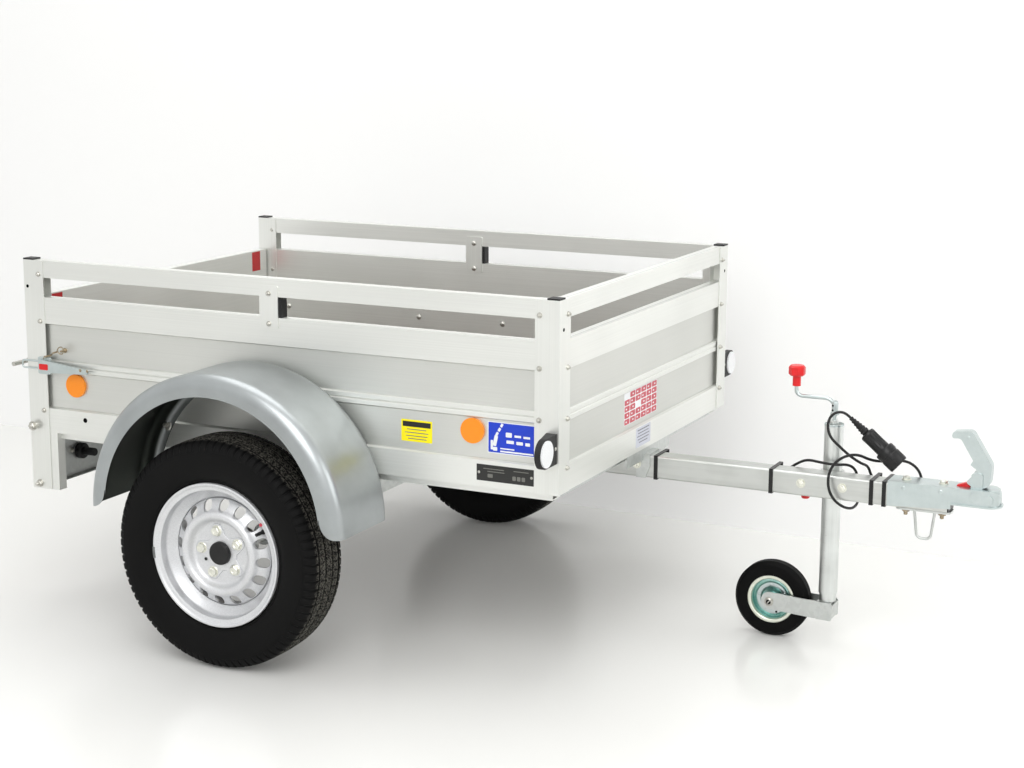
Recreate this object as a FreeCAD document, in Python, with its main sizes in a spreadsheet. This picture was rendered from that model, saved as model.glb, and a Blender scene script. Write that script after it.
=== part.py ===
import FreeCAD, Part
import Sketcher
import math
import os
import re
from FreeCAD import Placement, Rotation, Vector

# Utility trailer with a boarded load box, one axle, a drawbar and a jockey wheel.
# Frame: +X forward to the coupling, +Y to the left, +Z up, millimetres.
# The origin lies on the ground, under the middle of the whole length.

doc = FreeCAD.newDocument("UtilityTrailer")

sizes = {
    # Reach of the whole vehicle before and behind the load box
    "nose_reach": 918,
    "rear_reach": 36,
    # Load box
    "box_length": 1560,
    "box_width": 1160,
    "board_bottom": 482,
    "board_height": 366,
    "rail_gap": 52,
    "rail_height": 46,
    "rail_wall": 2,
    "post_side": 32,
    "post_wall": 2.5,
    "post_flange": 31,
    "cap_height": 4,
    # Board profile, from the bottom up
    "low_band": 66,
    "low_recess": 104,
    "rib_height": 25,
    "rib_groove": 3,
    "top_band": 70,
    "recess_depth": 9,
    "rib_set": 3,
    "band_slope": 4,
    # Tailgate
    "gate_gap": 6,
    "hinge_height": 15,
    "hinge_radius": 6,
    "hinge_clearance": 0.1,
    "hinge_head": 10,
    "hinge_head_length": 12,
    "gate_swing_gap": 6,
    # Rail clamps
    "clamp_width": 54,
    "clamp_plate": 3,
    "clamp_plate_corner": 5,
    "clamp_drop": 28,
    "spacer_width": 60,
    "clamp_forward": 13,
    # Floor and chassis
    "floor_thick": 12,
    "chassis_height": 18,
    "chassis_inset": 19,
    "chassis_width": 45,
    "chassis_wall": 3,
    "chassis_end_gap": 23,
    "cross_width": 60,
    # Rear lamp panel and lamps
    "panel_bottom": 324,
    "panel_thick": 2,
    "panel_return": 18,
    "panel_inset": 14,
    "upright_width": 24,
    "lamp_width": 220,
    "lamp_height": 100,
    "lamp_base": 8,
    "lens_depth": 22,
    "lens_set": 4,
    "amber_width": 66,
    "lamp_low_gap": 16,
    "lamp_side_gap": 45,
    "lamp_corner": 12,
    "plate_lamp_width": 90,
    "plate_lamp_height": 30,
    "plate_lamp_depth": 15,
    "lamp_plug_radius": 22,
    "lamp_plug_length": 18,
    "lamp_neck_radius": 11,
    "lamp_neck_length": 38,
    "lamp_neck_round": 4,
    "lamp_plug_inset": 25,
    # Wheels
    "axle_behind": 37,
    "tyre_radius": 289,
    "tyre_half": 78.5,
    "tread_half": 60,
    "tread_wall": 12,
    "side_wall": 8,
    "tyre_mid_drop": 48,
    "wheel_gap": 86,
    "rim_flange_radius": 182,
    "rim_seat_radius": 165,
    "rim_well_radius": 142,
    "rim_half": 57,
    "rim_lip": 10,
    "rim_wall": 3,
    "well_half": 20,
    "well_slope": 12,
    "disc_face": 30,
    "disc_wall": 4,
    "disc_crown": 50,
    "crown_radius": 98,
    "disc_root": 5,
    "disc_heel": 1.5,
    "crown_half": 9,
    "disc_dish_radius": 77,
    "disc_bore_radius": 29,
    "hand_hole_radius": 13,
    "hand_hole_ring": 123,
    "hub_flange_radius": 68,
    "hub_flange_thick": 11,
    "hub_barrel_radius": 40,
    "hub_barrel_length": 90,
    "hub_bore_gap": 0.1,
    "bolt_ring": 56,
    "bolt_head_radius": 10,
    "bolt_head_length": 12,
    "hub_cap_length": 14,
    "hub_cap_gap": 1,
    "hub_cap_round": 6,
    # Axle
    "beam_side": 60,
    "beam_wall": 4,
    "beam_forward": 140,
    "beam_overhang": 5,
    "arm_thick": 26,
    "arm_width": 56,
    "stub_radius": 17,
    "saddle_width": 80,
    "saddle_wall": 5,
    # Mudguards
    "guard_radius": 365,
    "guard_rise": 86,
    "guard_wall": 2,
    "guard_over": 6,
    "guard_flange": 42,
    "guard_lip": 53,
    "guard_shoulder": 34,
    "guard_inner_round": 38,
    "guard_corner": 45,
    # Drawbar and bracket
    "bar_side": 60,
    "bar_wall": 3,
    "bar_corner": 6,
    "bar_front_gap": 128,
    "bracket_half": 148,
    "bracket_wall": 5,
    "bracket_drop": 12,
    "bracket_back": 22,
    "bracket_reach": 15,
    "bracket_gusset": 28,
    "bracket_corner": 8,
    # Coupling
    "coupling_length": 276,
    "coupling_wall": 4,
    "coupling_top": 6,
    "coupling_seam": 156,
    "coupling_round": 30,
    "skirt_rise": 3,
    "seam_rise": 12,
    "lip_rise": 24,
    "lip_wall": 4,
    "lip_reach": 5,
    "nose_round": 21,
    "nose_low_round": 12,
    "socket_radius": 25.2,
    "socket_wall": 6,
    "socket_roof": 8,
    "boss_radius": 11,
    "boss_reach": 3,
    "boss_ahead": 10,
    "handle_length": 141,
    "handle_width": 28,
    "handle_wall": 5,
    "handle_pivot_behind": 62,
    "handle_pivot_up": 26,
    "ear_half": 14,
    "ear_wall": 4,
    "ear_height": 38,
    "indicator_length": 32,
    "indicator_width": 16,
    "indicator_height": 10,
    "indicator_gap": 4,
    # Wire hanger for the safety cable and its plate
    "hanger_wire": 3.5,
    "hanger_drop": 74,
    "hanger_top_half": 25,
    "hanger_low_half": 17,
    "hanger_round": 14,
    "hanger_start": 6,
    "hanger_plate": 5,
    "hanger_plate_half": 26,
    "hanger_plate_start": 19,
    "hanger_plate_length": 136,
    # Cable ties, gland and tow cable
    "tie_width": 10,
    "tie_wall": 2,
    "cable_room": 22,
    "cable_diameter": 7,
    "gland_radius": 7,
    "gland_length": 16,
    "boot_tip_radius": 6,
    "boot_radius": 12,
    "boot_length": 52,
    "plug_radius": 19.5,
    "plug_length": 60,
    "collar_radius": 26,
    "collar_length": 54,
    "plug_round": 3,
    # Jockey wheel
    "mast_behind": 442,
    "mast_offset": 60,
    "mast_radius": 24,
    "mast_wall": 2.5,
    "mast_length": 440,
    "mast_bottom": 134,
    "mast_cap_radius": 11,
    "mast_cap_height": 14,
    "leg_gap": 0.3,
    "leg_hidden": 200,
    "pin_radius": 10,
    "clamp_ring": 6,
    "clamp_half": 75,
    "clamp_height": 46,
    "clamp_corner": 8,
    "clamp_ear_length": 24,
    "clamp_ear_reach": 24,
    "clamp_ear_height": 18,
    "screw_radius": 4,
    "screw_drop": 11,
    "clamp_knob_radius": 11,
    "clamp_knob_height": 20,
    "clamp_knob_round": 5,
    "fork_trail": 145,
    "fork_bottom": 66,
    "fork_height": 46,
    "fork_inner_half": 27,
    "fork_plate": 4,
    "fork_back": 20,
    "fork_front": 22,
    "fork_end": 23,
    "fork_end_round": 22,
    "fork_corner": 6,
    "yoke_gap": 0.8,
    "jockey_radius": 100,
    "jockey_tyre_half": 22,
    "jockey_tread_half": 12,
    "jockey_shoulder": 9,
    "jockey_rim_radius": 64,
    "jockey_rim_half": 20,
    "jockey_rim_wall": 4,
    "jockey_web_half": 4,
    "jockey_web_radius": 48,
    "jockey_ring_half": 9,
    "jockey_ring_radius": 32,
    "jockey_hub_half": 26,
    "jockey_hub_radius": 16,
    "jockey_axle_radius": 8,
    "crank_rod": 5,
    "crank_rise": 54,
    "crank_throw": 102,
    "crank_big_bend": 26,
    "crank_small_bend": 16,
    "crank_end": 20,
    "knob_radius": 21.5,
    "knob_height": 27,
    "knob_chamfer": 5,
    "knob_neck": 10.5,
    "knob_neck_height": 26,
    # Reflectors and latches
    "reflector_radius": 31,
    "reflector_thick": 7,
    "reflector_rear": 152,
    "reflector_front": 229,
    "reflector_up": 134,
    "marker_radius": 32,
    "marker_out": 60,
    "marker_up": 114,
    "marker_depth": 14,
    "marker_thick": 4,
    "latch_up": 183,
    "latch_thick": 6,
    "latch_base_start": 39,
    "latch_base_length": 41,
    "latch_base_height": 46,
    "latch_base_corner": 5,
    "lever_thick": 8,
    "lever_start": 8,
    "lever_length": 160,
    "lever_root": 36,
    "lever_tip": 12,
    "lever_tip_drop": 5,
    "bail_wire": 2.5,
    "bail_length": 54,
    "bail_half": 10,
    "bail_round": 7,
    "strike_behind": 29,
    "strike_radius": 6,
    "strike_reach": 24,
    # Overrun that lets a cut pass through a face
    "overrun": 2,
}

places = {
    "box_mid": "(rear_reach - nose_reach) / 2",
    "rear_x": "box_mid - box_length / 2",
    "front_x": "box_mid + box_length / 2",
    "half_y": "box_width / 2",
    "board_top": "board_bottom + board_height",
    "rail_bottom": "board_top + rail_gap",
    "rail_top": "rail_bottom + rail_height",
    "board_thick": "post_side - 2 * post_wall",
    "board_out": "half_y - post_wall",
    "board_in": "board_out - board_thick",
    "board_rear": "rear_x + post_side",
    "board_front": "front_x - post_side",
    "axle_x": "box_mid - axle_behind",
    "hinge_x": "rear_x + post_side / 2",
    "hinge_z": "board_bottom + hinge_height",
    "gate_half": "half_y - post_side - gate_gap",
    "chassis_bottom": "board_bottom - chassis_height",
    "bar_top": "chassis_bottom",
    "bar_bottom": "bar_top - bar_side",
    "beam_x": "axle_x + beam_forward",
    "beam_top": "bar_bottom",
    "beam_z": "beam_top - beam_side / 2",
    "nose_x": "front_x + nose_reach",
    "coupling_rear": "nose_x - coupling_length",
    "bar_front": "front_x + nose_reach - bar_front_gap",
    "mast_x": "nose_x - mast_behind",
    "mast_top": "mast_bottom + mast_length",
    "fork_wheel_x": "mast_x - fork_trail",
    "wheel_mid": "board_out + wheel_gap + tyre_half",
    "beam_half": "half_y - chassis_inset + beam_overhang",
    "guard_width": "wheel_gap + 2 * tyre_half + guard_over",
    "coupling_half": "bar_side / 2 + coupling_wall",
    "coupling_roof": "bar_top + coupling_top",
    "socket_x": "nose_x - coupling_half - lip_reach",
    "socket_floor": "bar_bottom + lip_rise",
    "handle_x": "nose_x - handle_pivot_behind",
    "crank_foot": "mast_top + mast_cap_height",
    "crank_x": "mast_x - crank_throw",
    "gate_edge": "hinge_x + post_side / 2 + gate_swing_gap",
    "panel_x": "rear_x + panel_inset",
    "chassis_rear": "board_rear + post_flange + upright_width",
}


def qualified(text):
    def owner(match):
        word = match.group()
        if word in sizes:
            return "Sizes." + word
        if word in places:
            return "Places." + word
        return word

    return re.sub(r"[a-z_][a-z_0-9]*", owner, text)


def fill_sheet(name, cells, prefix):
    sheet = doc.addObject("Spreadsheet::Sheet", name)
    for row, (alias, content) in enumerate(cells.items(), start=1):
        sheet.set("A%d" % row, alias)
        sheet.setAlias("B%d" % row, alias)
        sheet.set("B%d" % row, prefix + str(content))
    doc.recompute()
    return sheet


sheet = fill_sheet("Sizes", sizes, "")


def fill_places():
    target = doc.addObject("Spreadsheet::Sheet", "Places")
    for row, alias in enumerate(places, start=1):
        target.set("A%d" % row, alias)
        target.setAlias("B%d" % row, alias)
    for row, text in enumerate(places.values(), start=1):
        target.set("B%d" % row, "=" + qualified(text).replace("Places.", ""))
    doc.recompute()


fill_places()


def value(text):
    return float(sheet.evalExpression(qualified(text)))


def bind(item, **texts):
    for name, text in texts.items():
        item.setExpression(name, qualified(text))
    return item


def put(item, at):
    item.setExpression("Placement.Base.x", qualified(at[0]))
    item.setExpression("Placement.Base.y", qualified(at[1]))
    item.setExpression("Placement.Base.z", qualified(at[2]))
    return item


turns = {
    "X": Rotation(Vector(0, 1, 0), 90),
    "Y": Rotation(Vector(1, 0, 0), -90),
    "Z": Rotation(),
}


def box(name, low, size):
    item = doc.addObject("Part::Box", name)
    bind(item, Length=size[0], Width=size[1], Height=size[2])
    return put(item, low)


def mid_box(name, centre, size):
    low = ["%s - (%s) / 2" % (middle, span) for middle, span in zip(centre, size)]
    return box(name, low, size)


def rod(name, axis, start, radius, length):
    item = doc.addObject("Part::Cylinder", name)
    item.Placement = Placement(Vector(), turns[axis])
    bind(item, Radius=radius, Height=length)
    return put(item, start)


def cut(name, base, tool):
    item = doc.addObject("Part::Cut", name)
    item.Base = base
    item.Tool = tool
    return item


def fuse(name, pieces):
    item = doc.addObject("Part::MultiFuse", name)
    item.Shapes = pieces
    item.Refine = True
    return item


def group(name, pieces):
    item = doc.addObject("Part::Compound", name)
    item.Links = pieces
    return item


def origin_part(body, role):
    return [part for part in body.Origin.OriginFeatures if part.Role == role][0]


def outline(body, name, plane, rings, closed=True):
    """Draw rings or an open run; a corner is (across, up) or (across, up, radius), each an expression."""
    sketch = body.newObject("Sketcher::SketchObject", name)
    sketch.AttachmentSupport = (origin_part(body, plane), [""])
    sketch.MapMode = "FlatFace"
    for ring in rings:
        draw_ring(sketch, ring, closed)
    return sketch


def pin_point(sketch, shape, end, corner):
    for kind, text in zip(("DistanceX", "DistanceY"), corner[:2]):
        index = sketch.addConstraint(Sketcher.Constraint(kind, -1, 1, shape, end, value(text)))
        sketch.setExpression("Constraints[%d]" % index, qualified(text))


def draw_ring(sketch, ring, closed):
    if len(ring) == 1:
        draw_circle(sketch, ring[0])
        return
    spots = [Vector(value(corner[0]), value(corner[1]), 0) for corner in ring]
    count = len(ring)
    ends = () if closed else (0, count - 1)
    lines = []
    cuts = []
    for here in range(count):
        spot = spots[here]
        into = (spots[here - 1] - spot).normalize()
        out = (spots[(here + 1) % count] - spot).normalize()
        if here in ends or len(ring[here]) < 3:
            cuts.append((spot, spot, None))
            continue
        radius = value(ring[here][2])
        half = into.getAngle(out) / 2
        reach = radius / math.tan(half)
        centre = spot + (into + out).normalize() * (radius / math.sin(half))
        cuts.append((spot + into * reach, spot + out * reach, centre))
    for here in range(count if closed else count - 1):
        start = cuts[here][1]
        stop = cuts[(here + 1) % count][0]
        lines.append(sketch.addGeometry(Part.LineSegment(start, stop)))
    for here in range(count):
        if cuts[here][2] is None:
            if here not in ends:
                sketch.addConstraint(Sketcher.Constraint("Coincident", lines[here - 1], 2, lines[here], 1))
            last_end = not closed and here == count - 1
            pin_point(sketch, lines[-1 if last_end else here], 2 if last_end else 1, ring[here])
            continue
        start, stop, centre = cuts[here]
        middle = centre + (spots[here] - centre).normalize() * (start - centre).Length
        arc = sketch.addGeometry(Part.Arc(start, middle, stop))
        corner = sketch.addGeometry(Part.Point(spots[here]), True)
        pin_point(sketch, corner, 1, ring[here])
        sketch.addConstraint(Sketcher.Constraint("PointOnObject", corner, 1, lines[here - 1]))
        sketch.addConstraint(Sketcher.Constraint("PointOnObject", corner, 1, lines[here]))
        turns_left = (spots[here] - start).cross(stop - spots[here]).z > 0
        first, last = (1, 2) if turns_left else (2, 1)
        sketch.addConstraint(Sketcher.Constraint("Tangent", lines[here - 1], 2, arc, first))
        sketch.addConstraint(Sketcher.Constraint("Tangent", lines[here], 1, arc, last))
        index = sketch.addConstraint(Sketcher.Constraint("Radius", arc, value(ring[here][2])))
        sketch.setExpression("Constraints[%d]" % index, qualified(ring[here][2]))


def draw_circle(sketch, circle):
    centre = Vector(value(circle[0]), value(circle[1]), 0)
    shape = sketch.addGeometry(Part.Circle(centre, Vector(0, 0, 1), value(circle[2])))
    pin_point(sketch, shape, 3, circle)
    index = sketch.addConstraint(Sketcher.Constraint("Radius", shape, value(circle[2])))
    sketch.setExpression("Constraints[%d]" % index, qualified(circle[2]))


def new_body(name, at):
    return put(doc.addObject("PartDesign::Body", name), at)


def padded(name, plane, rings, length, at=("0", "0", "0")):
    """Extrude rings by length, half to each side of the plane."""
    body = new_body(name, at)
    sketch = outline(body, name + "_outline", plane, rings)
    pad = body.newObject("PartDesign::Pad", name + "_pad")
    pad.Profile = sketch
    pad.SideType = "Symmetric"
    pad.setExpression("Length", qualified(length))
    body.Tip = pad
    return body


def turned(name, ring, at, angle=360, middle=False, facing=Rotation()):
    """Revolve rings drawn as (along, radius) about the body's own Y axis, which facing then turns."""
    body = doc.addObject("PartDesign::Body", name)
    body.Placement = Placement(Vector(), facing)
    put(body, at)
    sketch = outline(body, name + "_outline", "YZ_Plane", ring)
    revolve = body.newObject("PartDesign::Revolution", name + "_turn")
    revolve.Profile = sketch
    revolve.ReferenceAxis = (origin_part(body, "Y_Axis"), [""])
    revolve.Angle = angle
    revolve.Midplane = middle
    body.Tip = revolve
    return body


along_x = Rotation(Vector(0, 0, 1), -90)
along_z = Rotation(Vector(1, 0, 0), 90)


def bent_rod(name, marks, radius, at, section_plane):
    """Sweep a round section along an open run in the XZ plane that starts at nought."""
    body = new_body(name, at)
    run = outline(body, name + "_run", "XZ_Plane", [marks], closed=False)
    section = outline(body, name + "_section", section_plane, [[("0", "0", radius)]])
    pipe = body.newObject("PartDesign::AdditivePipe", name + "_pipe")
    pipe.Profile = section
    pipe.Spine = (run, [])
    body.Tip = pipe
    return body


def shared(name, pieces):
    item = doc.addObject("Part::MultiCommon", name)
    item.Shapes = pieces
    return item


def rounded(name, plane, centre, width, height, corner, length):
    """Plate with four rounded corners, half its length to each side of the plane."""
    ring = [(x + width + " / 2", y + height + " / 2", corner)
            for x, y in (("-1 * ", "-1 * "), ("", "-1 * "), ("", ""), ("-1 * ", ""))]
    return padded(name, plane, [ring], length, centre)


nodes = []


def keep(name, item):
    item.Label = name
    nodes.append(item)
    return item


sides = (("right", "-1"), ("left", "1"))


# Boards: one profile, its foot at nought and its inner face at nought

def board_ring(out, foot, sign):
    face = "%s + %s * board_thick" % (out, sign)
    recess = "%s + %s * (board_thick - recess_depth)" % (out, sign)
    rib = "%s + %s * (board_thick - rib_set)" % (out, sign)
    groove = "%s + %s * (board_thick - rib_set - rib_groove)" % (out, sign)
    low = foot + " + low_band"
    rib_low = low + " + low_recess"
    rib_top = rib_low + " + rib_height"
    rib_mid = rib_low + " + rib_height / 2"
    high = "%s + board_height - top_band" % foot
    return [
        (out, foot),
        (face, foot),
        (face, low),
        (recess, low + " + band_slope"),
        (recess, rib_low + " - band_slope"),
        (rib, rib_low),
        (rib, rib_mid + " - rib_groove"),
        (groove, rib_mid),
        (rib, rib_mid + " + rib_groove"),
        (rib, rib_top),
        (recess, rib_top + " + band_slope"),
        (recess, high + " - band_slope"),
        (face, high),
        (face, foot + " + board_height"),
        (out, foot + " + board_height"),
    ]


def side_board(side, sign):
    ring = board_ring("0", "0", sign)
    at = ("(board_rear + board_front) / 2", sign + " * board_in", "board_bottom")
    keep("side_board_" + side, padded("side_board_" + side, "YZ_Plane", [ring], "board_front - board_rear", at))


def end_board(name, sign, inner_x, half):
    ring = board_ring("0", "0", sign)
    return padded(name, "XZ_Plane", [ring], "2 * (%s)" % half, (inner_x, "0", "board_bottom"))


def corner_post(name, x_sign, y_sign):
    corner_x = "front_x" if x_sign == "-1" else "rear_x"
    corner_y = "-1 * half_y" if y_sign == "1" else "half_y"
    front = x_sign == "-1"
    reach = "post_side + post_flange"
    marks = [("0", "0"), (reach, "0"), (reach, "post_wall"), ("post_side", "post_wall"),
             ("post_side", "post_side - post_wall"), (reach, "post_side - post_wall"), (reach, "post_side")]
    if front:
        marks += [("post_side", "post_side"), ("post_side", reach), ("post_side - post_wall", reach),
                  ("post_side - post_wall", "post_side"), ("post_wall", "post_side"), ("post_wall", reach),
                  ("0", reach)]
    else:
        marks += [("0", "post_side")]
    ring = [("%s * (%s)" % (x_sign, along), "%s * (%s)" % (y_sign, across)) for along, across in marks]
    core_marks = [("post_wall", "post_wall"), ("post_side - post_wall", "post_wall"),
                  ("post_side - post_wall", "post_side - post_wall"), ("post_wall", "post_side - post_wall")]
    core = [("%s * (%s)" % (x_sign, along), "%s * (%s)" % (y_sign, across)) for along, across in core_marks]
    foot = "board_bottom" if front else "panel_bottom"
    height = "rail_top - " + foot
    at = (corner_x, corner_y, "(rail_top + %s) / 2" % foot)
    return padded(name, "XY_Plane", [ring, core], height, at)


def posts():
    fronts = []
    rears = []
    for side, sign in sides:
        inward = "1" if sign == "-1" else "-1"
        fronts.append(corner_post("front_post_" + side, "-1", inward))
        raw = corner_post("rear_post_" + side + "_raw", "1", inward)
        start = "half_y - post_side - overrun" if sign == "1" else "-1 * half_y - overrun"
        hole = rod("rear_post_hole_" + side, "Y", ("hinge_x", start, "hinge_z"),
                   "hinge_radius + hinge_clearance", "post_side + 2 * overrun")
        rears.append(cut("rear_post_" + side, raw, hole))
    keep("front_posts", group("front_posts", fronts))
    keep("rear_posts", group("rear_posts", rears))


def post_caps():
    caps = []
    for x_name, x_sign in (("rear_x", "1"), ("front_x", "-1")):
        for side, sign in sides:
            centre = ("%s + %s * post_side / 2" % (x_name, x_sign),
                      "%s * (half_y - post_side / 2)" % sign, "rail_top + cap_height / 2")
            name = "cap_%s_%s" % (x_name, side)
            caps.append(mid_box(name, centre, ("post_side", "post_side", "cap_height")))
    keep("post_caps", group("post_caps", caps))


def tube_box(name, low, size, wall, axis):
    """Rectangular tube along X or Y."""
    outer = box(name + "_outer", low, size)
    inner_low = ["%s + %s" % (corner, wall) for corner in low]
    inner_size = ["%s - 2 * %s" % (span, wall) for span in size]
    inner_low[axis] = "%s - overrun" % low[axis]
    inner_size[axis] = "%s + 2 * overrun" % size[axis]
    return cut(name, outer, box(name + "_inner", inner_low, inner_size))


def rails():
    tubes = []
    for side, sign in sides:
        low_y = "board_in" if sign == "1" else "-1 * board_out"
        low = ("board_rear", low_y, "rail_bottom")
        size = ("board_front - board_rear", "board_thick", "rail_height")
        tubes.append(tube_box("side_rail_" + side, low, size, "rail_wall", 0))
    keep("side_rails", group("side_rails", tubes))
    low = ("front_x - post_wall - board_thick", "-1 * half_y + post_side", "rail_bottom")
    size = ("board_thick", "box_width - 2 * post_side", "rail_height")
    keep("front_rail", tube_box("front_rail", low, size, "rail_wall", 1))


def rail_clamps():
    plates = []
    spacers = []
    low_z = "board_top - clamp_drop"
    height = "rail_gap + 2 * clamp_drop"
    for side, sign in sides:
        for face, start in (("outer", "board_out"), ("inner", "board_in - clamp_plate")):
            centre = ("box_mid - clamp_forward", "%s * (%s + clamp_plate / 2)" % (sign, start),
                      "%s + (%s) / 2" % (low_z, height))
            plates.append(rounded("clamp_%s_%s" % (face, side), "XZ_Plane", centre, "clamp_width",
                                  "(%s)" % height, "clamp_plate_corner", "clamp_plate"))
        low_y = "board_in" if sign == "1" else "-1 * board_out"
        low = ("box_mid - clamp_forward - clamp_width / 2 + rail_wall", low_y, "board_top")
        spacers.append(box("spacer_" + side, low, ("spacer_width", "board_thick", "rail_gap")))
    keep("rail_clamps", group("rail_clamps", plates))
    keep("rail_spacers", group("rail_spacers", spacers))


def floor_and_chassis():
    low = ("gate_edge", "-1 * half_y + post_side", "board_bottom")
    size = ("board_front - gate_edge", "box_width - 2 * post_side", "floor_thick")
    keep("floor_panel", box("floor_panel", low, size))
    length = "front_x - chassis_end_gap - chassis_rear"
    beams = []
    for side, sign in sides:
        outer_y = "half_y - chassis_inset"
        low_y = outer_y + " - chassis_width" if sign == "1" else "-1 * (%s)" % outer_y
        low = ("chassis_rear", low_y, "chassis_bottom")
        size = (length, "chassis_width", "chassis_height")
        beams.append(tube_box("chassis_rail_" + side, low, size, "chassis_wall", 0))
    keep("chassis_rails", group("chassis_rails", beams))
    inner = "half_y - chassis_inset - chassis_width"
    span = "2 * (%s)" % inner
    members = (("rear", "chassis_rear"), ("front", "front_x - chassis_end_gap - cross_width"),
               ("axle", "beam_x - cross_width / 2"))
    crosses = []
    for name, start in members:
        low = (start, "-1 * (%s)" % inner, "chassis_bottom")
        size = ("cross_width", span, "chassis_height")
        crosses.append(tube_box("cross_member_" + name, low, size, "chassis_wall", 1))
    keep("cross_members", group("cross_members", crosses))


def lamp_panel():
    top = "chassis_bottom"
    height = "%s - panel_bottom" % top
    inner_y = "half_y - post_side"
    sheet_box = box("panel_sheet", ("panel_x", "-1 * (%s)" % inner_y, "panel_bottom"),
                    ("panel_thick", "2 * (%s)" % inner_y, height))
    foot = box("panel_foot", ("panel_x", "-1 * (%s)" % inner_y, "panel_bottom"),
               ("panel_return", "2 * (%s)" % inner_y, "panel_thick"))
    head_reach = "chassis_rear + cross_width / 2 - panel_x"
    head = box("panel_head", ("panel_x", "-1 * (%s)" % inner_y, top + " - panel_thick"),
               (head_reach, "2 * (%s)" % inner_y, "panel_thick"))
    keep("rear_lamp_panel", fuse("rear_lamp_panel", [sheet_box, foot, head]))
    uprights = []
    bases = []
    reds = []
    ambers = []
    for side, sign in sides:
        low_y = "half_y - post_side" if sign == "1" else "-1 * half_y + post_wall"
        low = ("board_rear + post_flange", low_y, "panel_bottom")
        size = ("upright_width", "post_side - post_wall", "board_bottom - panel_bottom")
        uprights.append(tube_box("rear_upright_" + side, low, size, "post_wall", 2))
        mid_y = "%s * (half_y - lamp_side_gap - lamp_width / 2)" % sign
        mid_z = "panel_bottom + lamp_low_gap + lamp_height / 2"
        bases.append(rounded("lamp_base_" + side, "YZ_Plane", ("panel_x - lamp_base / 2", mid_y, mid_z),
                             "lamp_width", "lamp_height", "lamp_corner", "lamp_base"))
        lens_half = "(lamp_width / 2 - lens_set)"
        seam = "%s * (lamp_width / 2 - lens_set - amber_width)" % sign
        up = "(lamp_height / 2 - lens_set)"
        for name, far, store in (("red", "-1 * %s * %s" % (sign, lens_half), reds),
                                 ("amber", "%s * %s" % (sign, lens_half), ambers)):
            ring = [(seam, "-1 * " + up), (far, "-1 * " + up, "lamp_corner"), (far, up, "lamp_corner"), (seam, up)]
            at = ("panel_x - lamp_base - lens_depth / 2", mid_y, mid_z)
            store.append(padded("lens_%s_%s" % (name, side), "YZ_Plane", [ring], "lens_depth", at))
        plug_y = "%s * (half_y - lamp_side_gap - lamp_width / 2 - lamp_plug_inset)" % sign
        plug = [("0", "0"), ("0", "lamp_plug_radius"), ("lamp_plug_length", "lamp_plug_radius", "lamp_neck_round"),
                ("lamp_plug_length", "lamp_neck_radius"),
                ("lamp_plug_length + lamp_neck_length", "lamp_neck_radius", "lamp_neck_round"),
                ("lamp_plug_length + lamp_neck_length", "0")]
        bases.append(turned("lamp_plug_" + side, [plug], ("panel_x + panel_thick", plug_y, mid_z), facing=along_x))
    keep("rear_uprights", group("rear_uprights", uprights))
    keep("rear_lamps", group("rear_lamps", bases))
    keep("rear_red_lenses", group("rear_red_lenses", reds))
    keep("rear_amber_lenses", group("rear_amber_lenses", ambers))
    plate_low = ("panel_x - plate_lamp_depth", "-1 * plate_lamp_width / 2", "chassis_bottom - 2 * plate_lamp_height")
    keep("plate_lamp", box("plate_lamp", plate_low, ("plate_lamp_depth", "plate_lamp_width", "plate_lamp_height")))


# Tailgate: the same board, on two pivot pins

def tailgate():
    inner_x = "rear_x + post_wall + board_thick"
    board = end_board("tailgate_raw", "-1", inner_x, "gate_half")
    keep("tailgate_board", board)
    pins = []
    strikes = []
    for side, sign in sides:
        start = "gate_half" if sign == "1" else "-1 * (half_y + hinge_clearance)"
        length = "half_y + hinge_clearance - gate_half"
        shank = rod("hinge_shank_" + side, "Y", ("hinge_x", start, "hinge_z"), "hinge_radius", length)
        head_start = "half_y + hinge_clearance" if sign == "1" else (
            "-1 * (half_y + hinge_clearance + hinge_head_length)")
        head = rod("hinge_head_" + side, "Y", ("hinge_x", head_start, "hinge_z"), "hinge_head",
                   "hinge_head_length")
        pins.append(fuse("hinge_pin_" + side, [shank, head]))
        low = ("rear_x - strike_behind - strike_radius",
               "gate_half - post_side" if sign == "1" else "-1 * gate_half",
               "board_bottom + latch_up - strike_radius")
        lug = box("strike_lug_" + side, low,
                  ("strike_behind + post_wall + strike_radius + rib_set", "post_side", "2 * strike_radius"))
        strike_start = "gate_half" if sign == "1" else "-1 * (half_y + strike_reach)"
        bar = rod("strike_bar_" + side, "Y", ("rear_x - strike_behind", strike_start,
                                              "board_bottom + latch_up"), "strike_radius",
                  "half_y + strike_reach - gate_half")
        strikes.append(fuse("strike_" + side, [lug, bar]))
    keep("tailgate_pins", group("tailgate_pins", pins))
    keep("tailgate_strikes", group("tailgate_strikes", strikes))


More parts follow.
